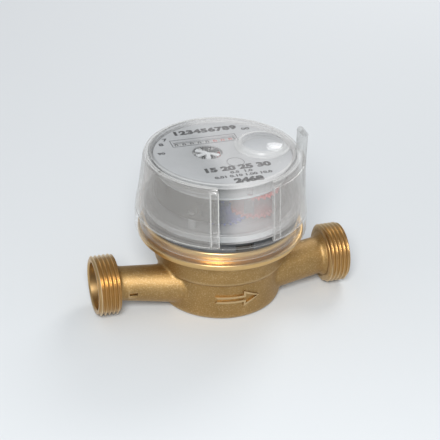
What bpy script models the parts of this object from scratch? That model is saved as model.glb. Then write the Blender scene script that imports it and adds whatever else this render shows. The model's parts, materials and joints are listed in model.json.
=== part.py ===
"""Single-jet water meter: brass flow body, turbine, magnetic drive and dry register.

Lengths are metres. The cup's axis is Z, its flat underside is at z = 0,
and water runs from the inlet at -X to the outlet at +X. The dial is read from -Y.
"""
import math

import bmesh
import bpy
from mathutils import Matrix

MM = 0.001
GAP = 0.3 * MM              # play between neighbouring pieces
EDGE = 0.9 * MM             # broken edges, and how far joined shapes reach into each other
STEPS = 40                  # facets of large turned pieces
FINE_STEPS = 16             # facets of small turned pieces
PIN_STEPS = 8               # facets of pins and spindles

# Gears of the register train
MODULE = 0.8 * MM
TIP = 0.6 * MM
ROOT = 0.9 * MM
TOOTH_TIP_SHARE = 0.1       # half a tooth's tip and foot, as shares of the pitch
TOOTH_FOOT_SHARE = 0.27
MESH_PLAY = 0.25 * MM       # added to a pair's pitch radii
GEAR_THICKNESS = 1.5 * MM
SPINDLE_R = 0.8 * MM
SMALL_TEETH = 8
FIRST_WHEEL_TEETH = 24
SECOND_WHEEL_TEETH = 24
RED_WHEEL_TEETH = 26
TARGET_TEETH = 12
FIRST_WHEEL_ANGLE = math.radians(-105.0)
STAR_ANGLE = math.radians(150.0)
TARGET_X = 17.5 * MM
TARGET_Y = -1.0 * MM
TARGET_R = 8.0 * MM
TARGET_THICKNESS = 0.8 * MM
TARGET_DEPTH = 1.5 * MM     # from the dial's underside down to the target disc
STAR_R = 5.6 * MM
STAR_HUB_R = 1.4 * MM
STAR_POINTS = 6
STAR_VANE_SHARES = (0.0, 0.16, 0.5)
STAR_THICKNESS = 0.4 * MM
STAR_LIFT = 0.1 * MM        # of the vanes, from the dial's underside

# Number drums
DRUM_COUNT = 8
DRUM_R = 6.0 * MM
DRUM_WIDTH = 3.2 * MM
DRUM_PITCH = 3.5 * MM
DRUM_RIM = 1.3 * MM
DRUM_WEB = 1.2 * MM
DRUM_HUB_R = 2.2 * MM
DRUM_SHAFT_R = 0.8 * MM
DRUM_LEFT = -18.0 * MM
WORM_WHEEL_X = 14.5 * MM
WORM_WHEEL_R = 5.0 * MM
WORM_WHEEL_TEETH = 20
WORM_WHEEL_WIDTH = 1.6 * MM
WORM_R = 2.2 * MM
CARRY_R = 1.5 * MM
CARRY_WIDTH = 2.4 * MM
CARRY_PLAY = 0.45 * MM
CARRY_TEETH = 8
CARRY_ANGLE = math.radians(-60.0)
CARRY_SHAFT_R = 0.5 * MM
CARRY_CLEARANCE = 0.715 * MM    # over the train plate
CHEEK = 1.4 * MM
CHEEK_FRONT = 3.0 * MM
CHEEK_BACK = 5.5 * MM
CHEEK_RISE = 2.2 * MM       # above the drums' axis

# Plates of the register train
LAYER_STEP = 0.8 * MM       # between neighbouring gears, up and down
FIRST_LAYER_RISE = 0.7 * MM
UPPER_LAYER_RISE = 2.7 * MM
TOP_LAYER_STEP = 1.8 * MM
TRAIN_PLATE_MARGIN = 1.55 * MM  # outside the reach of what stands on it
TRAIN_PLATE_THICKNESS = 1.2 * MM
PILLAR_R = 1.8 * MM
PILLAR_INSET = 2.9 * MM     # from the train plate's edge
PILLAR_ANGLES = (10.0, 100.0, 225.0)
POST_R = 1.4 * MM
POST_FOOT_R = 2.2 * MM
POST_ANGLES = (60.0, 180.0, 278.0, 340.0)
BRIDGE_RISE = 1.9 * MM
BRIDGE_THICKNESS = 1.0 * MM
BRIDGE_EDGE_Y = 5.0 * MM
BRIDGE_INSET = 1.0 * MM
SCREW_HEAD_R = 1.8 * MM
SCREW_HEAD_HEIGHT = 1.2 * MM
SCREW_SHANK_R = 0.8 * MM
SCREW_LENGTH = 4.0 * MM
DIAL_OVERHANG = 0.4 * MM    # past the train plate's edge
DIAL_THICKNESS = 0.6 * MM
STAR_OPENING_R = 6.5 * MM
WINDOW_DEPTH = 4.6 * MM     # number window, front to back

# Register housing, clear plastic over a moulded base
DIAL_PLAY = 0.4 * MM
CAPSULE_WALL = 1.4 * MM
CAPSULE_HEADROOM = 0.9 * MM # over the dial
FLANGE_REACH = 3.4 * MM     # of the capsule's foot, outside its drum
FLANGE_THICKNESS = 1.0 * MM
FLANGE_WALL = 1.4 * MM
FLANGE_PLAY = 0.65 * MM
WINDOW_BEVEL = 0.4 * MM
BOSS_TOP_R = 10.5 * MM
BOSS_FLARE = 1.5 * MM
BOSS_HEIGHT = 2.0 * MM
BASE_THICKNESS = 1.8 * MM
BASE_RIM = 0.8 * MM
WELL_WALL = 1.2 * MM
WELL_R = 8.0 * MM
GASKET_SET_IN = 0.2 * MM
GASKET_WIDTH = 5.0 * MM
GASKET_HEIGHT = 4.3 * MM
GASKET_NOTCH = 8.0 * MM
SKIRT_WALL = 2.05 * MM
SKIRT_PLAY = 0.35 * MM
SKIRT_LIP = 2.25 * MM       # how far the lip reaches in from the bore
SKIRT_SNAP = 0.35 * MM      # of the lip, in under the neck's bead
SKIRT_LIP_HEIGHT = 1.4 * MM
SHELL_WALL = 1.6 * MM
SHELL_RIM = 0.6 * MM
SHELL_DROP = 0.9 * MM       # of the shell's top, below the capsule's
SEAM_STEP = 0.3 * MM
WAIST_SET_IN = 1.6 * MM
WAIST_RISE = 9.2 * MM
SHOULDER_SET_IN = 3.5 * MM
SHOULDER_DROP = 1.6 * MM
SHELL_RIM_SET_IN = 0.8 * MM
WINDOW_WIDTH = 23.6 * MM
RIB_WIDTH = 3.6 * MM
RIB_DEPTH = 3.4 * MM
PANEL_PROUD = 1.4 * MM
PANEL_DROP = 0.5 * MM
PANEL_FOOT_RISE = 3.4 * MM
LUG_WIDTH = 6.0 * MM
LUG_THICKNESS = 3.2 * MM
LUG_RISE = 4.4 * MM
LUG_EYE_R = 1.2 * MM

# Flow body, cast brass
SHAFT_R = 0.9 * MM
FLOOR_Z = 4.0 * MM
COLLAR_SET_IN = 1.3 * MM    # from the skirt that stands on the collar
COLLAR_RISE = 2.6 * MM      # of its top, over the sealing plate
COLLAR_HEIGHT = 2.7 * MM
NECK_WALL = 6.9 * MM
NECK_HEIGHT = 4.4 * MM
LEDGE_WIDTH = 2.8 * MM      # the sealing plate rests on this ledge
CUP_WALL = 3.6 * MM
BAND_STEP = 1.5 * MM
BAND_RISE = 4.5 * MM        # over the pipe axis
PORT_LENGTH = 115.0 * MM    # over both threaded ends
PORT_SHIFT = -1.5 * MM      # middle of that length, from the cup's axis
PIPE_Y = -6.0 * MM
THREAD_R = 13.22 * MM
THREAD_CLEARANCE = 0.28 * MM    # over the cup's underside
THREAD_LENGTH = 10.0 * MM
THREAD_CHAMFER = 1.2 * MM
PORT_WALL = 2.72 * MM
PORT_BORE_DEPTH = 7.5 * MM
PASSAGE_R = 5.8 * MM
NOZZLE_R = 5.2 * MM         # jet passage where it enters the chamber
NOZZLE_SIDE = 6.5 * MM      # from the pipe's axis, towards the front
NOZZLE_DROP = 1.0 * MM
NOZZLE_REACH = 9.0 * MM     # inside the chamber's wall
INLET_TAIL_WALL = 1.6 * MM
OUTLET_TAIL_WALL = 2.5 * MM
HUB_SET_IN = 2.42 * MM      # shoulder behind the outlet thread
HUB_LENGTH = 3.0 * MM
TAIL_ROOT_WALL = 3.6 * MM   # where a tail meets the cup
TAIL_ROOT_SIDE = 4.0 * MM
TAIL_ROOT_DROP = 2.1 * MM
TAIL_ROOT_REACH = 4.0 * MM
ARROW_SHAFT = 12.4 * MM
ARROW_HEAD = 7.6 * MM
ARROW_SHAFT_HEIGHT = 3.3 * MM
ARROW_HEAD_HEIGHT = 7.8 * MM
ARROW_LINE = 0.8 * MM
ARROW_RAISE = 0.8 * MM
ARROW_DROP = 2.7 * MM       # under the pipe axis

# Strainer in the inlet
STRAINER_PLATE = 1.5 * MM
STRAINER_HOLE_R = 1.4 * MM
STRAINER_PITCH = 3.9 * MM

# Turbine and magnetic drive
BEARING_R = 2.5 * MM
BEARING_SEAT = 1.5 * MM
BEARING_RISE = 4.0 * MM     # over the chamber's floor
PIVOT_DEPTH = 2.7 * MM
PIVOT_HOLE_R = 0.9 * MM
PIVOT_R = 0.6 * MM
IMPELLER_LIFT = 0.8 * MM    # over the bearing
IMPELLER_HEIGHT = 11.2 * MM
IMPELLER_PLAY = 2.5 * MM    # inside the chamber's wall
IMPELLER_HUB_R = 5.0 * MM
BLADE_COUNT = 8
BLADE_THICKNESS = 1.2 * MM
MAGNET_R = 6.0 * MM
MAGNET_HEIGHT = 3.5 * MM
MAGNET_HEADROOM = 2.2 * MM
PLATE_THICKNESS = 3.4 * MM
PLATE_REBATE = 1.6 * MM
PLATE_LIP = 2.2 * MM
POCKET_PLAY = 1.0 * MM
POCKET_FLOOR = 1.4 * MM
O_RING_R = 0.9 * MM
CLAMP_WIDTH = 5.5 * MM
CLAMP_HEIGHT = 4.6 * MM
CLAMP_SLOT = 3.0 * MM
SHIELD_WALL = 1.3 * MM
SHIELD_HEIGHT = 4.5 * MM


def pitch_radius(teeth):
    return MODULE * teeth / 2


def mesh_distance(teeth_a, teeth_b):
    return pitch_radius(teeth_a) + pitch_radius(teeth_b) + MESH_PLAY


def third_corner(a, b, reach_a, reach_b):
    """The point at reach_a from a and reach_b from b, on the right of the line from a to b."""
    span = math.dist(a, b)
    along = (reach_a ** 2 - reach_b ** 2 + span ** 2) / (2 * span)
    out = math.sqrt(reach_a ** 2 - along ** 2)
    ux, uy = (b[0] - a[0]) / span, (b[1] - a[1]) / span
    return a[0] + along * ux + out * uy, a[1] + along * uy - out * ux


# Places of the spindles, seen from above
FOLLOWER_AT = (0.0, 0.0)
FIRST_REACH = mesh_distance(SMALL_TEETH, FIRST_WHEEL_TEETH)
FIRST_AT = (FIRST_REACH * math.cos(FIRST_WHEEL_ANGLE), FIRST_REACH * math.sin(FIRST_WHEEL_ANGLE))
TARGET_AT = (TARGET_X, TARGET_Y)
SECOND_AT = third_corner(FIRST_AT, TARGET_AT, mesh_distance(SMALL_TEETH, SECOND_WHEEL_TEETH),
                         mesh_distance(RED_WHEEL_TEETH, TARGET_TEETH))
STAR_REACH = mesh_distance(SMALL_TEETH, SMALL_TEETH)
STAR_AT = (STAR_REACH * math.cos(STAR_ANGLE), STAR_REACH * math.sin(STAR_ANGLE))
WORM_REACH = mesh_distance(TARGET_TEETH, SMALL_TEETH)
WORM_AT = (WORM_WHEEL_X, TARGET_Y + math.sqrt(WORM_REACH ** 2 - (TARGET_X - WORM_WHEEL_X) ** 2))
DRUM_Y = WORM_AT[1] + WORM_R + WORM_WHEEL_R + GAP
DRUM_RIGHT = DRUM_LEFT + DRUM_COUNT * DRUM_PITCH
CHEEK_LEFT = DRUM_LEFT - GAP - CHEEK
CHEEK_RIGHT = WORM_WHEEL_X + pitch_radius(SMALL_TEETH) - CHEEK / 2
CARRY_REACH = DRUM_R + CARRY_R + CARRY_PLAY
CARRY_Y = DRUM_Y + CARRY_REACH * math.cos(CARRY_ANGLE)

# Radii, from the register's works outwards and then in to the turbine chamber
BOSS_BASE_R = BOSS_TOP_R + BOSS_FLARE
DRUM_CORNER = math.hypot(CHEEK_LEFT, DRUM_Y + CHEEK_BACK)
TRAIN_PLATE_R = DRUM_CORNER + TRAIN_PLATE_MARGIN
PILLAR_AT_R = TRAIN_PLATE_R - PILLAR_INSET
BRIDGE_R = TRAIN_PLATE_R - BRIDGE_INSET
DIAL_R = TRAIN_PLATE_R + DIAL_OVERHANG
CAPSULE_R = DIAL_R + DIAL_PLAY + CAPSULE_WALL
WINDOW_LIP_R = CAPSULE_R - WINDOW_BEVEL
CAPSULE_FLANGE_R = CAPSULE_R + FLANGE_REACH
BASE_R = CAPSULE_FLANGE_R - FLANGE_WALL - 2 * GAP
SKIRT_BORE_R = CAPSULE_FLANGE_R + FLANGE_PLAY
SKIRT_R = SKIRT_BORE_R + SKIRT_WALL
SHELL_FOOT_R = SKIRT_R - SEAM_STEP
SHELL_WAIST_R = SKIRT_R - WAIST_SET_IN
SHELL_SHOULDER_R = SKIRT_R - SHOULDER_SET_IN
SHELL_TOP_R = SHELL_SHOULDER_R - SHELL_RIM_SET_IN
PANEL_TOP_R = SHELL_SHOULDER_R + PANEL_PROUD
PANEL_FOOT_R = SHELL_WAIST_R + PANEL_PROUD / 2
SKIRT_LIP_R = SKIRT_BORE_R - SKIRT_LIP
GROOVE_R = SKIRT_LIP_R - SKIRT_PLAY
NECK_R = SKIRT_LIP_R + SKIRT_SNAP
COLLAR_R = SKIRT_R - COLLAR_SET_IN
GASKET_R = NECK_R - GASKET_SET_IN
GASKET_BORE_R = GASKET_R - GASKET_WIDTH
COVER_BORE_R = NECK_R - NECK_WALL
PLATE_R = COVER_BORE_R - GAP
CLAMP_BORE_R = PLATE_R - CLAMP_WIDTH
CHAMBER_R = COVER_BORE_R - LEDGE_WIDTH
IMPELLER_R = CHAMBER_R - IMPELLER_PLAY
POCKET_R = WELL_R + POCKET_PLAY
CUP_R = CHAMBER_R + CUP_WALL
BAND_R = CUP_R + BAND_STEP

# Heights, from the cup's floor to the hinge lug
BEARING_TOP = FLOOR_Z + BEARING_RISE
IMPELLER_Z = BEARING_TOP + IMPELLER_LIFT
IMPELLER_TOP = IMPELLER_Z + IMPELLER_HEIGHT
MAGNET_Z = IMPELLER_TOP + GAP
LEDGE_Z = IMPELLER_TOP + MAGNET_HEIGHT + MAGNET_HEADROOM
PLATE_BASE_Z = LEDGE_Z + GAP
PLATE_TOP = PLATE_BASE_Z + PLATE_REBATE + PLATE_THICKNESS
POCKET_Z = PLATE_BASE_Z + PLATE_REBATE + POCKET_FLOOR
CLAMP_Z = PLATE_TOP + GAP
COLLAR_TOP = PLATE_TOP + COLLAR_RISE
COLLAR_Z = COLLAR_TOP - COLLAR_HEIGHT
SKIRT_BOTTOM = COLLAR_TOP + GAP
GROOVE_TOP = SKIRT_BOTTOM + SKIRT_LIP_HEIGHT + GAP
NECK_TOP = COLLAR_TOP + NECK_HEIGHT
GASKET_Z = NECK_TOP + GAP
BASE_Z = GASKET_Z + GASKET_HEIGHT + GAP
BASE_TOP = BASE_Z + BASE_THICKNESS
SHELL_Z = GASKET_Z + GASKET_HEIGHT
SKIRT_TOP = SHELL_Z - GAP
CAPSULE_WEB_Z = BASE_TOP + BASE_RIM + GAP
CAPSULE_FLANGE_TOP = CAPSULE_WEB_Z + FLANGE_THICKNESS
LAYER_A = BASE_TOP + FIRST_LAYER_RISE
LAYER_B = LAYER_A + GEAR_THICKNESS + LAYER_STEP
TRAIN_PLATE_Z = LAYER_B + GEAR_THICKNESS + LAYER_STEP
TRAIN_PLATE_TOP = TRAIN_PLATE_Z + TRAIN_PLATE_THICKNESS
LAYER_C = TRAIN_PLATE_TOP + UPPER_LAYER_RISE
LAYER_D = LAYER_C + GEAR_THICKNESS + TOP_LAYER_STEP
BRIDGE_Z = LAYER_D + GEAR_THICKNESS + BRIDGE_RISE
CARRY_Z = TRAIN_PLATE_TOP + CARRY_CLEARANCE + CARRY_R
DRUM_Z = CARRY_Z - CARRY_REACH * math.sin(CARRY_ANGLE)
CHEEK_TOP = DRUM_Z + CHEEK_RISE
DIAL_Z = DRUM_Z + DRUM_R + GAP
TARGET_Z = DIAL_Z - TARGET_DEPTH - TARGET_THICKNESS
CAPSULE_TOP = DIAL_Z + DIAL_THICKNESS + CAPSULE_HEADROOM + CAPSULE_WALL
SHELL_TOP = CAPSULE_TOP - SHELL_DROP
SHELL_SHOULDER_Z = SHELL_TOP - SHOULDER_DROP
SHELL_WAIST_Z = SHELL_Z + WAIST_RISE
PANEL_TOP = SHELL_SHOULDER_Z - PANEL_DROP
LUG_EYE_Z = SHELL_TOP + LUG_RISE

# Ports and tails of the flow body
INLET_X = PORT_SHIFT - PORT_LENGTH / 2
OUTLET_X = PORT_SHIFT + PORT_LENGTH / 2
PIPE_Z = THREAD_R + THREAD_CLEARANCE
BAND_Z = PIPE_Z + BAND_RISE
ARROW_Z = PIPE_Z - ARROW_DROP
PORT_BORE_R = THREAD_R - PORT_WALL
INLET_TAIL_R = PASSAGE_R + INLET_TAIL_WALL
OUTLET_TAIL_R = PASSAGE_R + OUTLET_TAIL_WALL
HUB_R = THREAD_R - HUB_SET_IN
TAIL_ROOT_R = NOZZLE_R + TAIL_ROOT_WALL
TAIL_ROOT_X = CHAMBER_R - TAIL_ROOT_REACH
TAIL_ROOT_Y = PIPE_Y - TAIL_ROOT_SIDE
TAIL_ROOT_Z = PIPE_Z - TAIL_ROOT_DROP
NOZZLE_X = CHAMBER_R - NOZZLE_REACH
NOZZLE_Y = PIPE_Y - NOZZLE_SIDE
NOZZLE_Z = PIPE_Z - NOZZLE_DROP


def clear_scene():
    for old in list(bpy.data.objects):
        bpy.data.objects.remove(old, do_unlink=True)


def collection(name):
    made = bpy.data.collections.new(name)
    bpy.context.scene.collection.children.link(made)
    return made


def material(name, colour, roughness, metallic=0.0, alpha=1.0):
    made = bpy.data.materials.new(name)
    made.use_nodes = True
    shader = made.node_tree.nodes["Principled BSDF"]
    shader.inputs["Base Color"].default_value = (*colour, 1.0)
    shader.inputs["Roughness"].default_value = roughness
    shader.inputs["Metallic"].default_value = metallic
    shader.inputs["Alpha"].default_value = alpha
    return made


clear_scene()
METER = collection("water_meter")
CUTTERS = collection("cutters")
CAST_BRASS = material("cast_brass", (0.42, 0.29, 0.12), 0.55, 1.0)
TURNED_BRASS = material("turned_brass", (0.68, 0.48, 0.22), 0.3, 1.0)
STEEL = material("steel", (0.6, 0.6, 0.6), 0.35, 1.0)
CLEAR = material("clear_plastic", (0.8, 0.82, 0.83), 0.2, 0.0, 0.35)
RUBBER = material("rubber", (0.04, 0.04, 0.04), 0.8)
DARK = material("dark_plastic", (0.06, 0.07, 0.06), 0.5)
PALE = material("pale_plastic", (0.62, 0.63, 0.64), 0.5)
WHITE = material("white_plastic", (0.78, 0.78, 0.76), 0.5)
RED = material("red_plastic", (0.6, 0.1, 0.07), 0.45)
BLUE = material("blue_plastic", (0.12, 0.16, 0.42), 0.45)
MAGNET = material("magnet", (0.08, 0.08, 0.08), 0.5)


def axis_empty(name, at, parent=None):
    """An empty that stands on a joint's axis and carries the pieces that turn on it."""
    empty = bpy.data.objects.new(name, None)
    METER.objects.link(empty)
    empty.parent = parent
    empty.location = at
    return empty


def place(name, data, finish, at=(0, 0, 0), turn=(0, 0, 0), parent=None):
    """Put a mesh in the scene as a finished piece, or as a cutter where it has no finish."""
    obj = bpy.data.objects.new(name, data)
    obj.location = at
    obj.rotation_euler = turn
    if finish is None:
        CUTTERS.objects.link(obj)
        obj.hide_render = True
        obj.display_type = "WIRE"
    else:
        METER.objects.link(obj)
        data.materials.append(finish)
        obj.parent = parent
    return obj


def turned(name, profile, finish, at=(0, 0, 0), turn=(0, 0, 0), parent=None, steps=STEPS):
    """Revolve a profile of (radius, height) points about Z.

    A profile with its first and last points on the axis is left open, any other is closed.
    """
    points = list(profile)
    nexts = points[1:] + points[:1]
    area = sum(a[0] * b[1] - b[0] * a[1] for a, b in zip(points, nexts))
    if area > 0:
        points.reverse()
    solid_core = points[0][0] == 0 and points[-1][0] == 0
    count = len(points)
    edges = [(i, i + 1) for i in range(count - 1)]
    if not solid_core:
        edges.append((count - 1, 0))
    mesh = bpy.data.meshes.new(name)
    mesh.from_pydata([(r, 0, z) for r, z in points], edges, [])
    obj = place(name, mesh, finish, at, turn, parent)
    screw = obj.modifiers.new("turn", "SCREW")
    screw.axis = "Z"
    screw.steps = steps
    screw.render_steps = steps
    screw.use_merge_vertices = True
    screw.merge_threshold = 0.00001
    return obj


def rod(name, radius, low, high, finish, at=(0, 0, 0), turn=(0, 0, 0), parent=None, steps=PIN_STEPS):
    profile = [(0, high), (radius, high), (radius, low), (0, low)]
    return turned(name, profile, finish, at, turn, parent, steps)


def ring_profile(inner, outer, low, high):
    return [(inner, high), (outer, high), (outer, low), (inner, low)]


def flat(name, outlines, low, high, finish, at=(0, 0, 0), turn=(0, 0, 0), parent=None):
    """A flat piece from outlines in XY, filled between them, from low to high."""
    curve = bpy.data.curves.new(name, "CURVE")
    curve.dimensions = "2D"
    curve.fill_mode = "BOTH"
    curve.extrude = (high - low) / 2
    for outline in outlines:
        spline = curve.splines.new("POLY")
        spline.points.add(len(outline) - 1)
        for point, (x, y) in zip(spline.points, outline):
            point.co = (x, y, 0, 1)
        spline.use_cyclic_u = True
    guide = bpy.data.objects.new(name + "_outline", curve)
    bpy.context.scene.collection.objects.link(guide)
    graph = bpy.context.evaluated_depsgraph_get()
    mesh = bpy.data.meshes.new_from_object(guide.evaluated_get(graph))
    bpy.data.objects.remove(guide, do_unlink=True)
    tidy = bmesh.new()
    tidy.from_mesh(mesh)
    bmesh.ops.remove_doubles(tidy, verts=tidy.verts, dist=0.000001)
    bmesh.ops.translate(tidy, verts=tidy.verts, vec=(0, 0, (low + high) / 2))
    bmesh.ops.recalc_face_normals(tidy, faces=tidy.faces)
    tidy.to_mesh(mesh)
    tidy.free()
    return place(name, mesh, finish, at, turn, parent)


def circle(radius, count=FINE_STEPS, centre=(0, 0)):
    step = 2 * math.pi / count
    return [(centre[0] + radius * math.cos(i * step), centre[1] + radius * math.sin(i * step))
            for i in range(count)]


def blocks(name, boxes, finish=None, parent=None):
    """One mesh of separate boxes, each given as its low corner, its high corner and its turn."""
    shape = bmesh.new()
    for low, high, angle in boxes:
        made = bmesh.ops.create_cube(shape, size=1.0)["verts"]
        size = [b - a for a, b in zip(low, high)]
        middle = [(a + b) / 2 for a, b in zip(low, high)]
        bmesh.ops.scale(shape, verts=made, vec=size)
        bmesh.ops.translate(shape, verts=made, vec=middle)
        bmesh.ops.rotate(shape, verts=made, cent=(0, 0, 0), matrix=Matrix.Rotation(angle, 3, "Z"))
    mesh = bpy.data.meshes.new(name)
    shape.to_mesh(mesh)
    shape.free()
    return place(name, mesh, finish, parent=parent)


def rods(name, centres, radius, low, high, steps=PIN_STEPS):
    """One cutter or addition of separate upright rods."""
    shape = bmesh.new()
    for x, y in centres:
        made = bmesh.ops.create_cone(shape, cap_ends=True, segments=steps, radius1=radius,
                                     radius2=radius, depth=high - low)["verts"]
        bmesh.ops.translate(shape, verts=made, vec=(x, y, (low + high) / 2))
    mesh = bpy.data.meshes.new(name)
    shape.to_mesh(mesh)
    shape.free()
    return place(name, mesh, None)


def leaning_cone(name, start, start_r, end, end_r, steps=24):
    """A cone between two upright circles whose planes are square to X."""
    shape = bmesh.new()
    length = end[0] - start[0]
    made = bmesh.ops.create_cone(shape, cap_ends=True, segments=steps, radius1=start_r,
                                 radius2=end_r, depth=abs(length))["verts"]
    turn = Matrix.Rotation(math.copysign(math.pi / 2, length), 3, "Y")
    bmesh.ops.rotate(shape, verts=made, cent=(0, 0, 0), matrix=turn)
    middle = (start[0] + end[0]) / 2
    for vert in made:
        centre = end if (vert.co.x > 0) == (length > 0) else start
        vert.co.y += centre[1]
        vert.co.z += centre[2]
        vert.co.x += middle
    mesh = bpy.data.meshes.new(name)
    shape.to_mesh(mesh)
    shape.free()
    return place(name, mesh, None)


def combine(obj, tool, operation):
    change = obj.modifiers.new(tool.name, "BOOLEAN")
    change.operation = operation
    change.solver = "EXACT"
    change.object = tool


def polar(radius, degrees):
    angle = math.radians(degrees)
    return radius * math.cos(angle), radius * math.sin(angle)


ALONG_X = (0, math.pi / 2, 0)
REGISTER_AXIS = axis_empty("register_axis", (0, 0, 0))
IMPELLER_AXIS = axis_empty("impeller_axis", (0, 0, 0))


def threaded_end(name, face_x, inward):
    """Thread blank with chamfered edges, its axis along the pipe."""
    near, far = sorted((face_x, face_x + inward * THREAD_LENGTH))
    profile = [(0, near), (THREAD_R - THREAD_CHAMFER, near), (THREAD_R, near + THREAD_CHAMFER / 2),
               (THREAD_R, far - THREAD_CHAMFER / 2), (THREAD_R - THREAD_CHAMFER, far), (0, far)]
    return turned(name, profile, None, at=(0, PIPE_Y, PIPE_Z), turn=ALONG_X)


def arrow_outline(grow):
    """Flow arrow with a notched tail, pointing along +X, every side moved out by grow."""
    slope = ARROW_HEAD_HEIGHT / 2 / ARROW_HEAD
    shaft = ARROW_SHAFT_HEIGHT / 2 + grow
    tail = -(ARROW_SHAFT + ARROW_HEAD) / 2 - grow * (1 + math.sqrt(2))
    notch = tail + shaft
    neck = (ARROW_SHAFT - ARROW_HEAD) / 2 - grow
    tip = (ARROW_SHAFT + ARROW_HEAD) / 2 + grow * math.hypot(1, slope) / slope
    head = (tip - neck) * slope
    return [(notch, 0), (tail, shaft), (neck, shaft), (neck, head),
            (tip, 0), (neck, -head), (neck, -shaft), (tail, -shaft)]


def meter_body():
    profile = [(0, NECK_TOP), (NECK_R - EDGE, NECK_TOP), (NECK_R, NECK_TOP - EDGE),
               (NECK_R, GROOVE_TOP), (GROOVE_R, GROOVE_TOP),
               (GROOVE_R, COLLAR_TOP), (COLLAR_R - EDGE, COLLAR_TOP),
               (COLLAR_R, COLLAR_TOP - EDGE), (COLLAR_R, COLLAR_Z), (BAND_R, COLLAR_Z - EDGE),
               (BAND_R, BAND_Z), (CUP_R, BAND_Z), (CUP_R, EDGE), (CUP_R - EDGE, 0), (0, 0)]
    body = turned("meter_body", profile, CAST_BRASS)
    for side, face, tail_r in (("inlet", INLET_X, INLET_TAIL_R), ("outlet", OUTLET_X, OUTLET_TAIL_R)):
        inward = 1 if side == "inlet" else -1
        shoulder = face + inward * (THREAD_LENGTH - EDGE)
        root = (-inward * TAIL_ROOT_X, TAIL_ROOT_Y, TAIL_ROOT_Z)
        tail = leaning_cone(side + "_tail", (shoulder, PIPE_Y, PIPE_Z), tail_r, root, TAIL_ROOT_R)
        combine(body, tail, "UNION")
        if side == "outlet":
            hub_end = (shoulder - HUB_LENGTH, PIPE_Y, PIPE_Z)
            hub = leaning_cone("outlet_hub", (shoulder, PIPE_Y, PIPE_Z), HUB_R, hub_end, tail_r - EDGE)
            combine(body, hub, "UNION")
        combine(body, threaded_end(side + "_thread", face, inward), "UNION")
    outer = flat("arrow_rib", [arrow_outline(0), arrow_outline(-ARROW_LINE)], 0, COLLAR_R, None,
                 at=(0, 0, ARROW_Z), turn=(math.pi / 2, 0, 0))
    skin = rod("arrow_skin", CUP_R + ARROW_RAISE, EDGE, BAND_Z - EDGE, None, steps=STEPS)
    combine(outer, skin, "INTERSECT")
    core = rod("arrow_core", CUP_R - EDGE, 0, BAND_Z, None, steps=STEPS)
    combine(outer, core, "DIFFERENCE")
    combine(body, outer, "UNION")
    bores = [(0, NECK_TOP + EDGE), (COVER_BORE_R, NECK_TOP + EDGE), (COVER_BORE_R, LEDGE_Z),
             (CHAMBER_R, LEDGE_Z), (CHAMBER_R, FLOOR_Z), (BEARING_R + GAP, FLOOR_Z),
             (BEARING_R + GAP, FLOOR_Z - BEARING_SEAT), (0, FLOOR_Z - BEARING_SEAT)]
    combine(body, turned("chamber_bore", bores, None), "DIFFERENCE")
    for side, face in (("inlet", INLET_X), ("outlet", OUTLET_X)):
        inward = 1 if side == "inlet" else -1
        bore_end = face + inward * PORT_BORE_DEPTH
        low, high = sorted((face - inward * EDGE, bore_end))
        bore = rod(side + "_bore", PORT_BORE_R, low, high, None, at=(0, PIPE_Y, PIPE_Z),
                   turn=ALONG_X, steps=STEPS)
        combine(body, bore, "DIFFERENCE")
        start = (bore_end - inward * EDGE, PIPE_Y, PIPE_Z)
        mouth = (-inward * NOZZLE_X, NOZZLE_Y, NOZZLE_Z)
        passage = leaning_cone(side + "_passage", start, PASSAGE_R, mouth, NOZZLE_R)
        combine(body, passage, "DIFFERENCE")
    return body


def inlet_strainer():
    """Perforated disc that rests on the bottom of the inlet bore."""
    radius = PORT_BORE_R - GAP
    rows = range(-2, 3)
    holes = []
    for row in rows:
        for column in rows:
            y = STRAINER_PITCH * (column + row / 2)
            z = STRAINER_PITCH * row * math.sqrt(3) / 2
            if math.hypot(y, z) < radius - 2 * STRAINER_HOLE_R:
                holes.append(circle(STRAINER_HOLE_R, PIN_STEPS, (y, z)))
    seat = INLET_X + PORT_BORE_DEPTH - GAP
    flat("inlet_strainer", [circle(radius, 40)] + holes, -STRAINER_PLATE, 0, STEEL,
         at=(seat, PIPE_Y, PIPE_Z), turn=ALONG_X)


def turbine():
    seat = FLOOR_Z - BEARING_SEAT + GAP
    cup = [(0, BEARING_TOP - PIVOT_DEPTH), (PIVOT_HOLE_R, BEARING_TOP - PIVOT_DEPTH),
           (PIVOT_HOLE_R, BEARING_TOP), (BEARING_R, BEARING_TOP), (BEARING_R, seat), (0, seat)]
    turned("lower_bearing", cup, STEEL, steps=FINE_STEPS)
    hub = turned("impeller", ring_profile(SHAFT_R + GAP, IMPELLER_HUB_R, IMPELLER_Z, IMPELLER_TOP),
                 WHITE, parent=IMPELLER_AXIS, steps=FINE_STEPS)
    blades = []
    for index in range(BLADE_COUNT):
        low = (IMPELLER_HUB_R - EDGE, -BLADE_THICKNESS / 2, IMPELLER_Z + EDGE)
        high = (IMPELLER_R, BLADE_THICKNESS / 2, IMPELLER_TOP - EDGE)
        blades.append((low, high, 2 * math.pi * (index + 0.5) / BLADE_COUNT))
    combine(hub, blocks("impeller_blades", blades), "UNION")
    pivot_end = BEARING_TOP - PIVOT_DEPTH + GAP
    shaft_top = PLATE_BASE_Z + PLATE_REBATE - GAP
    shaft = [(0, shaft_top), (PIVOT_R, shaft_top), (PIVOT_R, MAGNET_Z + MAGNET_HEIGHT),
             (SHAFT_R, MAGNET_Z + MAGNET_HEIGHT), (SHAFT_R, BEARING_TOP + GAP),
             (PIVOT_R, BEARING_TOP + GAP), (PIVOT_R, pivot_end), (0, pivot_end)]
    turned("impeller_shaft", shaft, STEEL, parent=IMPELLER_AXIS, steps=PIN_STEPS)
    ring = ring_profile(SHAFT_R + GAP, MAGNET_R, MAGNET_Z, MAGNET_Z + MAGNET_HEIGHT)
    turned("driving_magnet", ring, MAGNET, parent=IMPELLER_AXIS, steps=FINE_STEPS)


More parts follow.
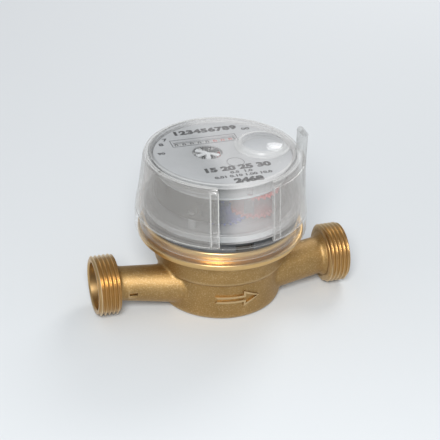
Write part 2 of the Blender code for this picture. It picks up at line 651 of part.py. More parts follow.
def chamber_cover():
    """Sealing plate on the body's ledge, its ring, the clamp that holds it and the field shield."""
    low = PLATE_BASE_Z
    step = low + PLATE_REBATE
    guide_r = CHAMBER_R - GAP
    pivot_r = PIVOT_R + GAP
    plate = [(0, POCKET_Z), (POCKET_R, POCKET_Z), (POCKET_R, PLATE_TOP), (PLATE_R, PLATE_TOP),
             (PLATE_R, step), (guide_r, step), (guide_r, low), (guide_r - PLATE_LIP, low),
             (guide_r - PLATE_LIP, step), (pivot_r + EDGE, step), (pivot_r + EDGE, step - EDGE),
             (pivot_r, step - EDGE), (pivot_r, step), (0, step)]
    turned("sealing_plate", plate, TURNED_BRASS)
    middle_r = (guide_r + COVER_BORE_R) / 2
    cord = circle(O_RING_R - GAP / 2, PIN_STEPS, (middle_r, LEDGE_Z + O_RING_R))
    turned("cover_seal", cord, RUBBER, steps=FINE_STEPS * 2)
    clamp = turned("clamp_ring", ring_profile(CLAMP_BORE_R, PLATE_R, CLAMP_Z, CLAMP_Z + CLAMP_HEIGHT),
                   TURNED_BRASS)
    slot_low = CLAMP_Z + CLAMP_HEIGHT - CLAMP_SLOT / 2
    slots = [((-COLLAR_R, -CLAMP_SLOT / 2, slot_low), (COLLAR_R, CLAMP_SLOT / 2, NECK_TOP), 0)]
    combine(clamp, blocks("clamp_slots", slots), "DIFFERENCE")
    inner = POCKET_R + WELL_WALL
    shield = ring_profile(inner, inner + SHIELD_WALL, PLATE_TOP + GAP, PLATE_TOP + GAP + SHIELD_HEIGHT)
    turned("field_shield", shield, STEEL, steps=FINE_STEPS * 2)


def register_seal():
    top = GASKET_Z + GASKET_HEIGHT
    seal = turned("register_gasket", ring_profile(GASKET_BORE_R, GASKET_R, GASKET_Z, top), RUBBER,
                  parent=REGISTER_AXIS)
    notch = blocks("gasket_notch", [((-GASKET_NOTCH / 2, -COLLAR_R, GASKET_Z - EDGE),
                                     (GASKET_NOTCH / 2, -GASKET_BORE_R - EDGE, top - EDGE), 0)])
    combine(seal, notch, "DIFFERENCE")


def register_base():
    """Moulded floor of the register, with the well that the follower magnet turns in."""
    well_floor = POCKET_Z + GAP
    outer_well = WELL_R + GAP
    base = [(0, well_floor + WELL_WALL / 2), (outer_well - WELL_WALL, well_floor + WELL_WALL / 2),
            (outer_well - WELL_WALL, BASE_TOP), (BASE_R - BASE_RIM, BASE_TOP),
            (BASE_R - BASE_RIM, BASE_TOP + BASE_RIM), (BASE_R, BASE_TOP + BASE_RIM),
            (BASE_R, BASE_Z), (outer_well, BASE_Z), (outer_well, well_floor), (0, well_floor)]
    floor = turned("register_base", base, PALE, parent=REGISTER_AXIS)
    spots = [polar(PILLAR_AT_R, angle) for angle in PILLAR_ANGLES]
    pillars = rods("base_pillars", spots, PILLAR_R, BASE_TOP - EDGE, TRAIN_PLATE_Z - GAP)
    combine(floor, pillars, "UNION")
    holes = rods("pillar_holes", spots, SCREW_SHANK_R + GAP,
                 TRAIN_PLATE_TOP - SCREW_LENGTH - GAP, TRAIN_PLATE_TOP)
    combine(floor, holes, "DIFFERENCE")


def base_skirt():
    """Lower clear band that stands on the body's collar, its lip in the groove of the neck."""
    profile = [(SKIRT_BORE_R, SKIRT_TOP), (SHELL_FOOT_R, SKIRT_TOP), (SKIRT_R, SKIRT_TOP - EDGE),
               (SKIRT_R, SKIRT_BOTTOM), (SKIRT_LIP_R, SKIRT_BOTTOM),
               (SKIRT_LIP_R, SKIRT_BOTTOM + SKIRT_LIP_HEIGHT),
               (SKIRT_BORE_R, SKIRT_BOTTOM + SKIRT_LIP_HEIGHT)]
    turned("base_skirt", profile, CLEAR, parent=REGISTER_AXIS)


def register_capsule():
    """Clear cover over the works: flanged foot, straight drum, flat window and round boss."""
    inner = CAPSULE_R - CAPSULE_WALL
    flange_bore = CAPSULE_FLANGE_R - FLANGE_WALL
    under = CAPSULE_TOP - CAPSULE_WALL
    foot = BASE_Z + GAP
    profile = [(0, CAPSULE_TOP), (WINDOW_LIP_R - EDGE / 2, CAPSULE_TOP),
               (WINDOW_LIP_R, CAPSULE_TOP - EDGE / 2), (CAPSULE_R, SHELL_TOP - EDGE),
               (CAPSULE_R, CAPSULE_FLANGE_TOP), (CAPSULE_FLANGE_R - EDGE / 2, CAPSULE_FLANGE_TOP),
               (CAPSULE_FLANGE_R, CAPSULE_FLANGE_TOP - EDGE / 2), (CAPSULE_FLANGE_R, foot),
               (flange_bore, foot), (flange_bore, CAPSULE_WEB_Z), (inner, CAPSULE_WEB_Z),
               (inner, under), (0, under)]
    cover = turned("register_capsule", profile, CLEAR, parent=REGISTER_AXIS)
    top = CAPSULE_TOP + BOSS_HEIGHT
    boss = [(0, top), (BOSS_TOP_R - EDGE / 2, top), (BOSS_TOP_R, top - EDGE / 2),
            (BOSS_BASE_R, CAPSULE_TOP - EDGE / 2), (0, CAPSULE_TOP - EDGE / 2)]
    at = (TARGET_X, TARGET_Y, 0)
    combine(cover, turned("boss", boss, None, at=at, steps=48), "UNION")
    hollow = rod("boss_hollow", BOSS_TOP_R - CAPSULE_WALL, under - EDGE, top - CAPSULE_WALL, None,
                 at=at, steps=40)
    combine(cover, hollow, "DIFFERENCE")


def register_shroud():
    """Upper clear shell, open at the front, with ribs beside the opening and the lid's hinge lug."""
    wall = SHELL_WALL
    rim_bore = CAPSULE_R + GAP
    outer = [(SHELL_TOP_R - EDGE, SHELL_TOP), (SHELL_TOP_R, SHELL_TOP - SEAM_STEP),
             (SHELL_SHOULDER_R, SHELL_SHOULDER_Z), (SHELL_WAIST_R, SHELL_WAIST_Z),
             (SHELL_FOOT_R, SHELL_Z + 2 * EDGE), (SHELL_FOOT_R, SHELL_Z)]
    inner = [(SKIRT_BORE_R, SHELL_Z), (SKIRT_BORE_R, CAPSULE_FLANGE_TOP),
             (SHELL_WAIST_R - wall, SHELL_WAIST_Z), (SHELL_SHOULDER_R - wall, SHELL_SHOULDER_Z - wall),
             (rim_bore, SHELL_SHOULDER_Z - SHELL_RIM), (rim_bore, SHELL_TOP)]
    shell = turned("register_shroud", outer + inner, CLEAR, parent=REGISTER_AXIS)
    half = WINDOW_WIDTH / 2
    window = blocks("front_window", [((-half, -COLLAR_R - RIB_DEPTH - EDGE, SHELL_Z - EDGE),
                                      (half, -CAPSULE_R / 2, CAPSULE_TOP), 0)])
    core = wall / 2
    panel = [(PANEL_TOP_R - EDGE, PANEL_TOP), (PANEL_TOP_R, PANEL_TOP - EDGE),
             (PANEL_FOOT_R, SHELL_Z + PANEL_FOOT_RISE), (PANEL_FOOT_R - core, SHELL_Z + PANEL_FOOT_RISE),
             (SHELL_WAIST_R - core, SHELL_WAIST_Z), (SHELL_SHOULDER_R - core, PANEL_TOP)]
    side = turned("side_panel", panel, None)
    reach = 2 * COLLAR_R
    sector = blocks("panel_sector", [((half - EDGE, -reach, 0), (reach, EDGE - LUG_WIDTH / 2, reach), 0)])
    combine(side, sector, "INTERSECT")
    combine(shell, side, "UNION")
    ribs = []
    for sign in (-1, 1):
        low_x, high_x = sorted((sign * (half - EDGE), sign * (half + RIB_WIDTH)))
        ribs.append(((low_x, -COLLAR_R - RIB_DEPTH, SHELL_Z), (high_x, -CAPSULE_R / 2, SHELL_TOP), 0))
    rib_solid = blocks("window_ribs", ribs)
    rib_low = CAPSULE_FLANGE_TOP + GAP
    rib_zone = [(rim_bore, SHELL_SHOULDER_Z - EDGE), (SHELL_SHOULDER_R - core, SHELL_SHOULDER_Z - EDGE),
                (SHELL_WAIST_R - core, SHELL_WAIST_Z), (SKIRT_BORE_R + core, rib_low), (rim_bore, rib_low)]
    combine(rib_solid, turned("rib_zone", rib_zone, None), "INTERSECT")
    combine(shell, rib_solid, "UNION")
    combine(shell, window, "DIFFERENCE")
    lug = blocks("hinge_lug", [((SKIRT_R - LUG_THICKNESS, -LUG_WIDTH / 2, rib_low),
                                (SKIRT_R, LUG_WIDTH / 2, LUG_EYE_Z), 0)])
    eye_at = (SKIRT_R - LUG_THICKNESS / 2, 0, LUG_EYE_Z)
    across = (math.pi / 2, 0, 0)
    round_top = rod("SKIRT_Round", LUG_THICKNESS / 2, -LUG_WIDTH / 2, LUG_WIDTH / 2, None,
                    at=eye_at, turn=across, steps=FINE_STEPS)
    combine(lug, round_top, "UNION")
    combine(shell, lug, "UNION")
    eye = rod("lug_eye", LUG_EYE_R, -LUG_WIDTH, LUG_WIDTH, None, at=eye_at, turn=across)
    combine(shell, eye, "DIFFERENCE")


def tooth_outline(teeth, phase=0.0, pitch_r=None, tip=TIP, root=ROOT):
    """Gear outline with straight-sided teeth, one of them centred on the angle phase."""
    pitch_r = pitch_r or pitch_radius(teeth)
    step = 2 * math.pi / teeth
    foot, top = (TOOTH_FOOT_SHARE, pitch_r - root), (TOOTH_TIP_SHARE, pitch_r + tip)
    corners = ((-foot[0], foot[1]), (-top[0], top[1]), top, foot)
    angles = [(phase + (index + share) * step, radius) for index in range(teeth) for share, radius in corners]
    return [(radius * math.cos(angle), radius * math.sin(angle)) for angle, radius in angles]


def meshed_phase(teeth_a, phase_a, teeth_b, direction):
    """Phase of gear b, so that a gap of b meets each tooth of a along the line of centres."""
    step_a = 2 * math.pi / teeth_a
    step_b = 2 * math.pi / teeth_b
    share = ((direction - phase_a) / step_a) % 1.0
    return direction + math.pi - (0.5 - share) * step_b


def direction(a, b):
    return math.atan2(b[1] - a[1], b[0] - a[0])


def gear(name, teeth, phase, low, finish=None, at=(0, 0), height=GEAR_THICKNESS):
    return flat(name, [tooth_outline(teeth, phase)], low, low + height, finish, at=(at[0], at[1], 0))


def spindle(name, at, low, high, finish, gears, disc=None):
    """Upright spindle with its gears moulded on: each gear is (teeth, phase, low, height)."""
    carrier = axis_empty(name + "_axis", (at[0], at[1], 0), REGISTER_AXIS)
    shaft = rod(name, SPINDLE_R, low, high, finish, parent=carrier)
    for index, (teeth, phase, gear_low, height) in enumerate(gears):
        wheel = gear(name + "_teeth_" + str(index), teeth, phase, gear_low, at=at, height=height)
        combine(shaft, wheel, "UNION")
    if disc:
        radius, disc_low, disc_high = disc
        plate = rod(name + "_disc", radius, disc_low, disc_high, None, at=(at[0], at[1], 0), steps=FINE_STEPS)
        combine(shaft, plate, "UNION")
    return shaft


def register_train():
    well_floor = POCKET_Z + GAP + WELL_WALL / 2
    foot = BASE_TOP + GAP
    magnet_r = WELL_R + GAP - WELL_WALL - 2 * GAP
    magnet = ring_profile(SPINDLE_R + GAP, magnet_r, well_floor + 2 * GAP, BASE_Z)
    carrier = axis_empty("follower_axis", (0, 0, 0), REGISTER_AXIS)
    turned("follower_magnet", magnet, MAGNET, parent=carrier, steps=FINE_STEPS)
    bridge_pin = BRIDGE_Z + BRIDGE_THICKNESS - GAP
    plain = (SMALL_TEETH, 0.0)
    spindle("follower_spindle", FOLLOWER_AT, well_floor + GAP, bridge_pin, WHITE,
            [(*plain, LAYER_A, GEAR_THICKNESS), (*plain, LAYER_C, GEAR_THICKNESS)])
    star_phase = meshed_phase(SMALL_TEETH, 0.0, SMALL_TEETH, direction(FOLLOWER_AT, STAR_AT))
    star = spindle("star_spindle", STAR_AT, TRAIN_PLATE_Z + GAP, DIAL_Z + DIAL_THICKNESS, WHITE,
                   [(SMALL_TEETH, star_phase, LAYER_C, GEAR_THICKNESS)])
    points = []
    for index in range(STAR_POINTS):
        for share, radius in zip(STAR_VANE_SHARES, (STAR_HUB_R, STAR_R, STAR_R)):
            angle = 2 * math.pi * (index + share) / STAR_POINTS
            points.append((radius * math.cos(angle), radius * math.sin(angle)))
    low = DIAL_Z + STAR_LIFT
    vanes = flat("star_vanes", [points], low, low + STAR_THICKNESS, None, at=(*STAR_AT, 0))
    combine(star, vanes, "UNION")
    first_phase = meshed_phase(SMALL_TEETH, 0.0, FIRST_WHEEL_TEETH, direction(FOLLOWER_AT, FIRST_AT))
    spindle("first_wheel", FIRST_AT, foot, TRAIN_PLATE_TOP, BLUE,
            [(FIRST_WHEEL_TEETH, first_phase, LAYER_A, GEAR_THICKNESS),
             (SMALL_TEETH, 0.0, LAYER_A + GEAR_THICKNESS / 2, LAYER_B + GEAR_THICKNESS - LAYER_A)])
    second_phase = meshed_phase(SMALL_TEETH, 0.0, SECOND_WHEEL_TEETH, direction(FIRST_AT, SECOND_AT))
    spindle("second_wheel", SECOND_AT, foot, bridge_pin, RED,
            [(SECOND_WHEEL_TEETH, second_phase, LAYER_B, GEAR_THICKNESS),
             (RED_WHEEL_TEETH, 0.0, LAYER_D, GEAR_THICKNESS)])
    target_phase = meshed_phase(RED_WHEEL_TEETH, 0.0, TARGET_TEETH, direction(SECOND_AT, TARGET_AT))
    spindle("target_spindle", TARGET_AT, TRAIN_PLATE_Z + GAP, TARGET_Z + TARGET_THICKNESS / 2, WHITE,
            [(TARGET_TEETH, target_phase, LAYER_C, LAYER_D + GEAR_THICKNESS - LAYER_C)],
            disc=(TARGET_R, TARGET_Z, TARGET_Z + TARGET_THICKNESS))
    worm_phase = meshed_phase(TARGET_TEETH, target_phase, SMALL_TEETH, direction(TARGET_AT, WORM_AT))
    worm_low = LAYER_C + 2 * GEAR_THICKNESS
    worm_high = DRUM_Z + (DRUM_Z - worm_low)
    spindle("worm_spindle", WORM_AT, TRAIN_PLATE_Z + GAP, worm_high, WHITE,
            [(SMALL_TEETH, worm_phase, LAYER_C, GEAR_THICKNESS)],
            disc=(WORM_R, worm_low, worm_high - GAP))


def train_plate():
    """Dark plate over the lower gears, with the drum cheeks and dial posts moulded on."""
    low, top = TRAIN_PLATE_Z, TRAIN_PLATE_TOP
    plate = rod("train_plate", TRAIN_PLATE_R, low, top, DARK, parent=REGISTER_AXIS, steps=STEPS)
    front, back = DRUM_Y - CHEEK_FRONT, DRUM_Y + CHEEK_BACK
    cheeks = [((x, front, low + EDGE), (x + CHEEK, back, CHEEK_TOP), 0) for x in (CHEEK_LEFT, CHEEK_RIGHT)]
    combine(plate, blocks("drum_cheeks", cheeks), "UNION")
    posts = [polar(PILLAR_AT_R, angle) for angle in POST_ANGLES]
    combine(plate, rods("post_feet", posts, POST_FOOT_R, low + EDGE, BRIDGE_Z - GAP), "UNION")
    combine(plate, rods("posts", posts, POST_R, BRIDGE_Z - EDGE, DIAL_Z - GAP), "UNION")
    through = [FOLLOWER_AT, FIRST_AT, SECOND_AT, STAR_AT, TARGET_AT, WORM_AT]
    combine(plate, rods("spindle_holes", through, SPINDLE_R + GAP, low - EDGE, top + EDGE), "DIFFERENCE")
    screws = [polar(PILLAR_AT_R, angle) for angle in PILLAR_ANGLES]
    combine(plate, rods("screw_holes", screws, SCREW_SHANK_R + GAP, low - EDGE, top + EDGE), "DIFFERENCE")
    for name, radius, y, z in (("drum_shaft_hole", DRUM_SHAFT_R, DRUM_Y, DRUM_Z),
                               ("carry_shaft_hole", CARRY_SHAFT_R, CARRY_Y, CARRY_Z)):
        hole = rod(name, radius + GAP, -COLLAR_R, COLLAR_R, None, at=(0, y, z), turn=ALONG_X)
        combine(plate, hole, "DIFFERENCE")
    for index, (x, y) in enumerate(screws):
        shank_low = top - SCREW_LENGTH
        head = top + GAP
        screw = [(0, head + SCREW_HEAD_HEIGHT), (SCREW_HEAD_R, head + SCREW_HEAD_HEIGHT),
                 (SCREW_HEAD_R, head), (SCREW_SHANK_R, head), (SCREW_SHANK_R, shank_low), (0, shank_low)]
        turned("plate_screw_" + str(index + 1), screw, STEEL, at=(x, y, 0), parent=REGISTER_AXIS,
               steps=PIN_STEPS)


def bridge_plate():
    """Pale half plate that carries the spindles' upper ends, on the posts' shoulders."""
    start = math.asin(BRIDGE_EDGE_Y / BRIDGE_R)
    sweep = math.pi + 2 * start
    count = 40
    angles = [start - sweep * i / count for i in range(count + 1)]
    outline = [(BRIDGE_R * math.cos(angle), BRIDGE_R * math.sin(angle)) for angle in angles]
    plate = flat("bridge_plate", [outline], BRIDGE_Z, BRIDGE_Z + BRIDGE_THICKNESS, PALE,
                 parent=REGISTER_AXIS)
    posts = [polar(PILLAR_AT_R, angle) for angle in POST_ANGLES]
    low, high = BRIDGE_Z - EDGE, BRIDGE_Z + BRIDGE_THICKNESS + EDGE
    combine(plate, rods("post_holes", posts, POST_R + GAP, low, high), "DIFFERENCE")
    pins = [FOLLOWER_AT, SECOND_AT, STAR_AT, TARGET_AT]
    combine(plate, rods("pin_holes", pins, SPINDLE_R + GAP, low, high), "DIFFERENCE")
    worm_notch = rods("worm_notch", [WORM_AT], WORM_R + 2 * GAP, low, high, FINE_STEPS)
    combine(plate, worm_notch, "DIFFERENCE")


def dial_plate():
    opening_low = DRUM_Y - WINDOW_DEPTH / 2
    opening_high = DRUM_Y + WINDOW_DEPTH / 2
    window = [(DRUM_LEFT, opening_low), (DRUM_RIGHT, opening_low),
              (DRUM_RIGHT, opening_high), (DRUM_LEFT, opening_high)]
    flat("dial_plate", [circle(DIAL_R, STEPS), window, circle(STAR_OPENING_R, 32, STAR_AT)],
         DIAL_Z, DIAL_Z + DIAL_THICKNESS, WHITE, parent=REGISTER_AXIS)


def counter():
    """Number drums on their shaft, the worm wheel that turns them and the carry pinions."""
    shaft_end = CHEEK_RIGHT + CHEEK
    rod("drum_shaft", DRUM_SHAFT_R, CHEEK_LEFT, shaft_end, STEEL, at=(0, DRUM_Y, DRUM_Z), turn=ALONG_X,
        parent=REGISTER_AXIS)
    rod("carry_shaft", CARRY_SHAFT_R, CHEEK_LEFT, shaft_end, STEEL, at=(0, CARRY_Y, CARRY_Z), turn=ALONG_X,
        parent=REGISTER_AXIS)
    bore = DRUM_SHAFT_R + GAP
    for index in range(DRUM_COUNT):
        name = "number_drum_" + str(index + 1)
        x = DRUM_LEFT + index * DRUM_PITCH
        carrier = axis_empty(name + "_axis", (x, DRUM_Y, DRUM_Z), REGISTER_AXIS)
        profile = [(bore, 0), (DRUM_R, 0), (DRUM_R, DRUM_WIDTH), (DRUM_R - DRUM_RIM, DRUM_WIDTH),
                   (DRUM_R - DRUM_RIM, DRUM_WEB), (DRUM_HUB_R, DRUM_WEB), (DRUM_HUB_R, DRUM_WIDTH),
                   (bore, DRUM_WIDTH)]
        turned(name, profile, WHITE, turn=ALONG_X, parent=carrier, steps=FINE_STEPS)
    hub_low = DRUM_LEFT + (DRUM_COUNT - 1) * DRUM_PITCH + DRUM_WIDTH + GAP
    wheel_low = WORM_WHEEL_X - WORM_WHEEL_WIDTH / 2
    carrier = axis_empty("worm_wheel_axis", (0, DRUM_Y, DRUM_Z), REGISTER_AXIS)
    hub = turned("worm_wheel", ring_profile(bore, DRUM_HUB_R, hub_low, wheel_low + GAP), WHITE,
                 turn=ALONG_X, parent=carrier, steps=FINE_STEPS)
    outline = tooth_outline(WORM_WHEEL_TEETH, 0.0, WORM_WHEEL_R - TIP)
    rim = flat("worm_wheel_rim", [outline, circle(bore, PIN_STEPS)], wheel_low,
               wheel_low + WORM_WHEEL_WIDTH, None, at=(0, DRUM_Y, DRUM_Z), turn=ALONG_X)
    combine(hub, rim, "UNION")
    for index in range(DRUM_COUNT - 1):
        name = "carry_pinion_" + str(index + 1)
        middle = DRUM_LEFT + (index + 1) * DRUM_PITCH - GAP / 2
        carrier = axis_empty(name + "_axis", (middle, CARRY_Y, CARRY_Z), REGISTER_AXIS)
        outline = tooth_outline(CARRY_TEETH, 0.0, CARRY_R - GAP, GAP, GAP)
        flat(name, [outline, circle(CARRY_SHAFT_R + GAP / 2, PIN_STEPS)], -CARRY_WIDTH / 2,
             CARRY_WIDTH / 2, WHITE, turn=ALONG_X, parent=carrier)


meter_body()
inlet_strainer()
turbine()
chamber_cover()
register_seal()
register_base()
base_skirt()
register_capsule()
register_shroud()
register_train()
train_plate()
bridge_plate()
dial_plate()
counter()
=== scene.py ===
"""Looks of a single-jet water meter: cast brass body, clear register housing, dial and number drums."""
import json
import math

import bmesh
import bpy
from mathutils import Matrix, Vector


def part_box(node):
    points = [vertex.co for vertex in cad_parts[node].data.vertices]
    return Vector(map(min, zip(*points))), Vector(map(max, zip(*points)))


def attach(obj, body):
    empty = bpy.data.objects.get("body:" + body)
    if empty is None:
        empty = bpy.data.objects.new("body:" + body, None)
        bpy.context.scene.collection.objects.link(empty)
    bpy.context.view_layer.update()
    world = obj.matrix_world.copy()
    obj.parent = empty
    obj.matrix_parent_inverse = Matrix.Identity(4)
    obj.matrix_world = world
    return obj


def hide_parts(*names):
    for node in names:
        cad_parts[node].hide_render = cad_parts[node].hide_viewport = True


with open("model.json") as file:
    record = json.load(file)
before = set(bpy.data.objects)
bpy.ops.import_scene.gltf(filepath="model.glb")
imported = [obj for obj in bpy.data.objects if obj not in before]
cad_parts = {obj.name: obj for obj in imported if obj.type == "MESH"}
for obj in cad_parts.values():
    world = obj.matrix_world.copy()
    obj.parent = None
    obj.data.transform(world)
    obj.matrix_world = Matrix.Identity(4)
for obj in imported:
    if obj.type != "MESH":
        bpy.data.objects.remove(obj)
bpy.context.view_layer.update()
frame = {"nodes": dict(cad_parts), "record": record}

MM = 0.001

# Flow body: one sand-cast brass piece, blasted to a fine grain, then machined at
# both pipe threads, at the collar and neck that carry the register, and inside.
body_low, body_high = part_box("meter_body")
strainer_low, strainer_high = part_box("inlet_strainer")
pipe_centre = (strainer_low + strainer_high) / 2
pipe_y, pipe_z = pipe_centre.y, pipe_centre.z
cup_r = 27.6 * MM
band_r = 29.1 * MM
band_z = 18.0 * MM
band_step = 0.5 * MM
collar_r = 36.4 * MM
collar_z = 30.9 * MM
collar_round = 0.9 * MM
collar_top = 33.6 * MM
neck_r = 33.75 * MM
groove_r = 33.05 * MM
groove_top = 35.6 * MM
neck_top = body_high.z
neck_round = 1.2 * MM
groove_round = 0.3 * MM
ledge_z = 25.7 * MM
ledge_r = 26.8 * MM
chamber_r = 24.0 * MM
floor_z = 4.0 * MM
bearing_r = 2.8 * MM
bearing_seat = 1.5 * MM
thread_r = 13.22 * MM
thread_length = 10.0 * MM
thread_pitch = 1.814 * MM
thread_depth = 1.16 * MM
thread_chamfer = 1.2 * MM
thread_overlap = 0.9 * MM
port_bore_r = 10.5 * MM
port_bore_depth = 7.5 * MM
port_chamfer = 1.6 * MM
port_chamfer_depth = 0.6 * MM
passage_r = 5.8 * MM
nozzle_r = 5.2 * MM
nozzle_at = (15.0 * MM, -12.5 * MM, 12.5 * MM)
inlet_tail_r = 7.4 * MM
outlet_tail_r = 8.3 * MM
inlet_hub_r = 9.0 * MM
outlet_hub_r = 10.8 * MM
hub_length = 3.4 * MM
hub_sink = 0.4 * MM
tail_root_r = 8.8 * MM
tail_root_at = (20.0 * MM, -10.0 * MM, 11.4 * MM)
cast_voxel = 0.5 * MM
cast_softness = 5
lug_low = (-45.4 * MM, -14.5 * MM, 10.0 * MM)
lug_high = (-40.8 * MM, -11.0 * MM, 14.2 * MM)
slot_low = (-44.9 * MM, -16.3 * MM, 11.35 * MM)
slot_high = (-41.3 * MM, -13.3 * MM, 12.65 * MM)
arrow_z = 10.8 * MM
arrow_shaft = 12.4 * MM
arrow_head = 7.6 * MM
arrow_half_shaft = 1.65 * MM
arrow_half_head = 3.9 * MM
arrow_line = 0.95 * MM
arrow_raise = 0.8 * MM
cast_dark = (0.305, 0.183, 0.058, 1)
cast_pale = (0.44, 0.272, 0.097, 1)
grain_glint = (0.70, 0.52, 0.28, 1)
# Paler edge colour: partly rubbed brass, partly a painted highlight along the edges.
worn_and_lit_edge = (0.80, 0.62, 0.36, 1)
turned_shade = (0.56, 0.37, 0.16, 1)
neck_shade = (0.70, 0.47, 0.205, 1)
# Painted highlight colour for the crests of the pipe threads.
crest_highlight = (0.86, 0.68, 0.42, 1)
turned_stain = (0.45, 0.29, 0.12, 1)


def rounded(corners, steps=4):
    """Outline from (across, up, fillet) corners, each fillet drawn as a short curve."""
    outline = []
    count = len(corners)
    for index, (across, up, fillet) in enumerate(corners):
        here = Vector((across, up))
        if not fillet:
            outline.append(tuple(here))
            continue
        before = Vector(corners[index - 1][:2])
        after = Vector(corners[(index + 1) % count][:2])
        start = here + (before - here).normalized() * fillet
        end = here + (after - here).normalized() * fillet
        for step in range(steps + 1):
            t = step / steps
            outline.append(tuple(start * (1 - t) ** 2 + here * 2 * t * (1 - t) + end * t ** 2))
    return outline


def turned(profile, steps=128):
    """A profile of (radius, height) points spun about Z. It closes on itself or on the axis."""
    shape = bmesh.new()
    dots = [shape.verts.new((radius, 0, height)) for radius, height in profile]
    for near, far in zip(dots, dots[1:]):
        shape.edges.new((near, far))
    if profile[0][0] > 0 or profile[-1][0] > 0:
        shape.edges.new((dots[-1], dots[0]))
    bmesh.ops.spin(shape, geom=shape.verts[:] + shape.edges[:], cent=(0, 0, 0), axis=(0, 0, 1),
                   angle=2 * math.pi, steps=steps, use_merge=True)
    bmesh.ops.remove_doubles(shape, verts=shape.verts, dist=0.001 * MM)
    bmesh.ops.recalc_face_normals(shape, faces=shape.faces)
    return shape


def on_pipe(shape):
    """Turn a shape made about Z onto the pipe's axis, its Z towards the outlet."""
    bmesh.ops.rotate(shape, verts=shape.verts, cent=(0, 0, 0), matrix=Matrix.Rotation(math.pi / 2, 3, "Y"))
    bmesh.ops.translate(shape, verts=shape.verts, vec=(0, pipe_y, pipe_z))
    return shape


def solid(name, shape):
    """Put a finished bmesh in the scene as an object at the origin."""
    mesh = bpy.data.meshes.new(name)
    shape.to_mesh(mesh)
    shape.free()
    piece = bpy.data.objects.new(name, mesh)
    bpy.context.scene.collection.objects.link(piece)
    return piece


def settle(piece):
    """Make what a piece's modifiers show its own mesh."""
    graph = bpy.context.evaluated_depsgraph_get()
    mesh = bpy.data.meshes.new_from_object(piece.evaluated_get(graph))
    piece.modifiers.clear()
    piece.data = mesh


def fused(piece, tool, operation):
    """Join two closed shapes, cut one with the other, or keep what they share."""
    change = piece.modifiers.new("fused", "BOOLEAN")
    change.operation = operation
    change.solver = "MANIFOLD"
    change.object = tool
    settle(piece)
    bpy.data.objects.remove(tool)
    return piece


def block(low, high, turn=0.0):
    """A box from its low and high corners, turned about Z."""
    shape = bmesh.new()
    made = bmesh.ops.create_cube(shape, size=1.0)["verts"]
    bmesh.ops.scale(shape, verts=made, vec=[b - a for a, b in zip(low, high)])
    bmesh.ops.translate(shape, verts=made, vec=[(a + b) / 2 for a, b in zip(low, high)])
    bmesh.ops.rotate(shape, verts=made, cent=(0, 0, 0), matrix=Matrix.Rotation(turn, 3, "Z"))
    return shape


cone_steps = 64


def leaning_cone(start, start_r, end, end_r):
    """A cone between two upright circles that face along the pipe."""
    shape = bmesh.new()
    length = end[0] - start[0]
    made = bmesh.ops.create_cone(shape, cap_ends=True, segments=cone_steps, radius1=start_r,
                                 radius2=end_r, depth=abs(length))["verts"]
    turn = Matrix.Rotation(math.copysign(math.pi / 2, length), 3, "Y")
    bmesh.ops.rotate(shape, verts=made, cent=(0, 0, 0), matrix=turn)
    for vert in made:
        centre = end if (vert.co.x > 0) == (length > 0) else start
        vert.co += Vector(((start[0] + end[0]) / 2, centre[1], centre[2]))
    return shape


def thread_solid(face_x, inward):
    """Right-hand parallel pipe thread with rounded crests, chamfered at both ends."""
    shape = bmesh.new()
    cuts = 8
    turn_steps = 72
    turns = math.ceil(thread_length / thread_pitch) + 2
    dots = []
    for cut in range(cuts + 1):
        share = cut / cuts
        radius = thread_r - thread_depth * (0.5 + 0.5 * math.cos(2 * math.pi * share)) ** 0.6
        dots.append(shape.verts.new(((share - 1) * thread_pitch, 0, radius)))
    for near, far in zip(dots, dots[1:]):
        shape.edges.new((near, far))
    bmesh.ops.spin(shape, geom=shape.verts[:] + shape.edges[:], cent=(0, 0, 0), axis=(1, 0, 0),
                   dvec=(thread_pitch / turn_steps, 0, 0), angle=2 * math.pi * turns,
                   steps=turns * turn_steps)
    bmesh.ops.remove_doubles(shape, verts=shape.verts, dist=0.002 * MM)
    for at_x, away in ((0, -1), (thread_length, 1)):
        geom = shape.verts[:] + shape.edges[:] + shape.faces[:]
        bmesh.ops.bisect_plane(shape, geom=geom, plane_co=(at_x, 0, 0), plane_no=(away, 0, 0),
                               clear_outer=True)
        rim = [edge for edge in shape.edges if edge.is_boundary
               and all(abs(vert.co.x - at_x) < 0.001 * MM for vert in edge.verts)]
        bmesh.ops.holes_fill(shape, edges=rim, sides=0)
    bmesh.ops.recalc_face_normals(shape, faces=shape.faces)
    bmesh.ops.translate(shape, verts=shape.verts, vec=(-thread_length / 2, 0, 0))
    middle = face_x + inward * thread_length / 2
    bmesh.ops.translate(shape, verts=shape.verts, vec=(middle, pipe_y, pipe_z))
    low, high = middle - thread_length / 2, middle + thread_length / 2
    blank_r = thread_r + 0.01 * MM
    face_r = thread_r - thread_chamfer
    slope = thread_chamfer * 0.6
    blank = [(0, low), (face_r, low), (blank_r, low + slope), (blank_r, high - slope), (face_r, high),
             (0, high)]
    return fused(solid("thread", shape), solid("blank", on_pipe(turned(blank, 96))), "INTERSECT")


cup = rounded([(0, 0, 0), (cup_r, 0, 2.6 * MM), (cup_r, band_z, 0.3 * MM),
               (band_r, band_z + band_step, band_step),
               (band_r, collar_z + 0.3 * MM, 0), (0, collar_z + 0.3 * MM, 0)])
casting = solid("brass_casting", turned(cup, 160))
for inward, face_x, tail_r, hub_r in ((1, body_low.x, inlet_tail_r, inlet_hub_r),
                                      (-1, body_high.x, outlet_tail_r, outlet_hub_r)):
    shoulder = (face_x + inward * (thread_length - thread_overlap), pipe_y, pipe_z)
    root = (-inward * tail_root_at[0], tail_root_at[1], tail_root_at[2])
    fused(casting, solid("tail", leaning_cone(shoulder, tail_r, root, tail_root_r)), "UNION")
    hub_end = (shoulder[0] + inward * hub_length, pipe_y, pipe_z)
    fused(casting, solid("hub", leaning_cone(shoulder, hub_r, hub_end, tail_r - hub_sink)), "UNION")
fused(casting, solid("seal_lug", block(lug_low, lug_high)), "UNION")
remesh = casting.modifiers.new("cast_skin", "REMESH")
remesh.mode = "VOXEL"
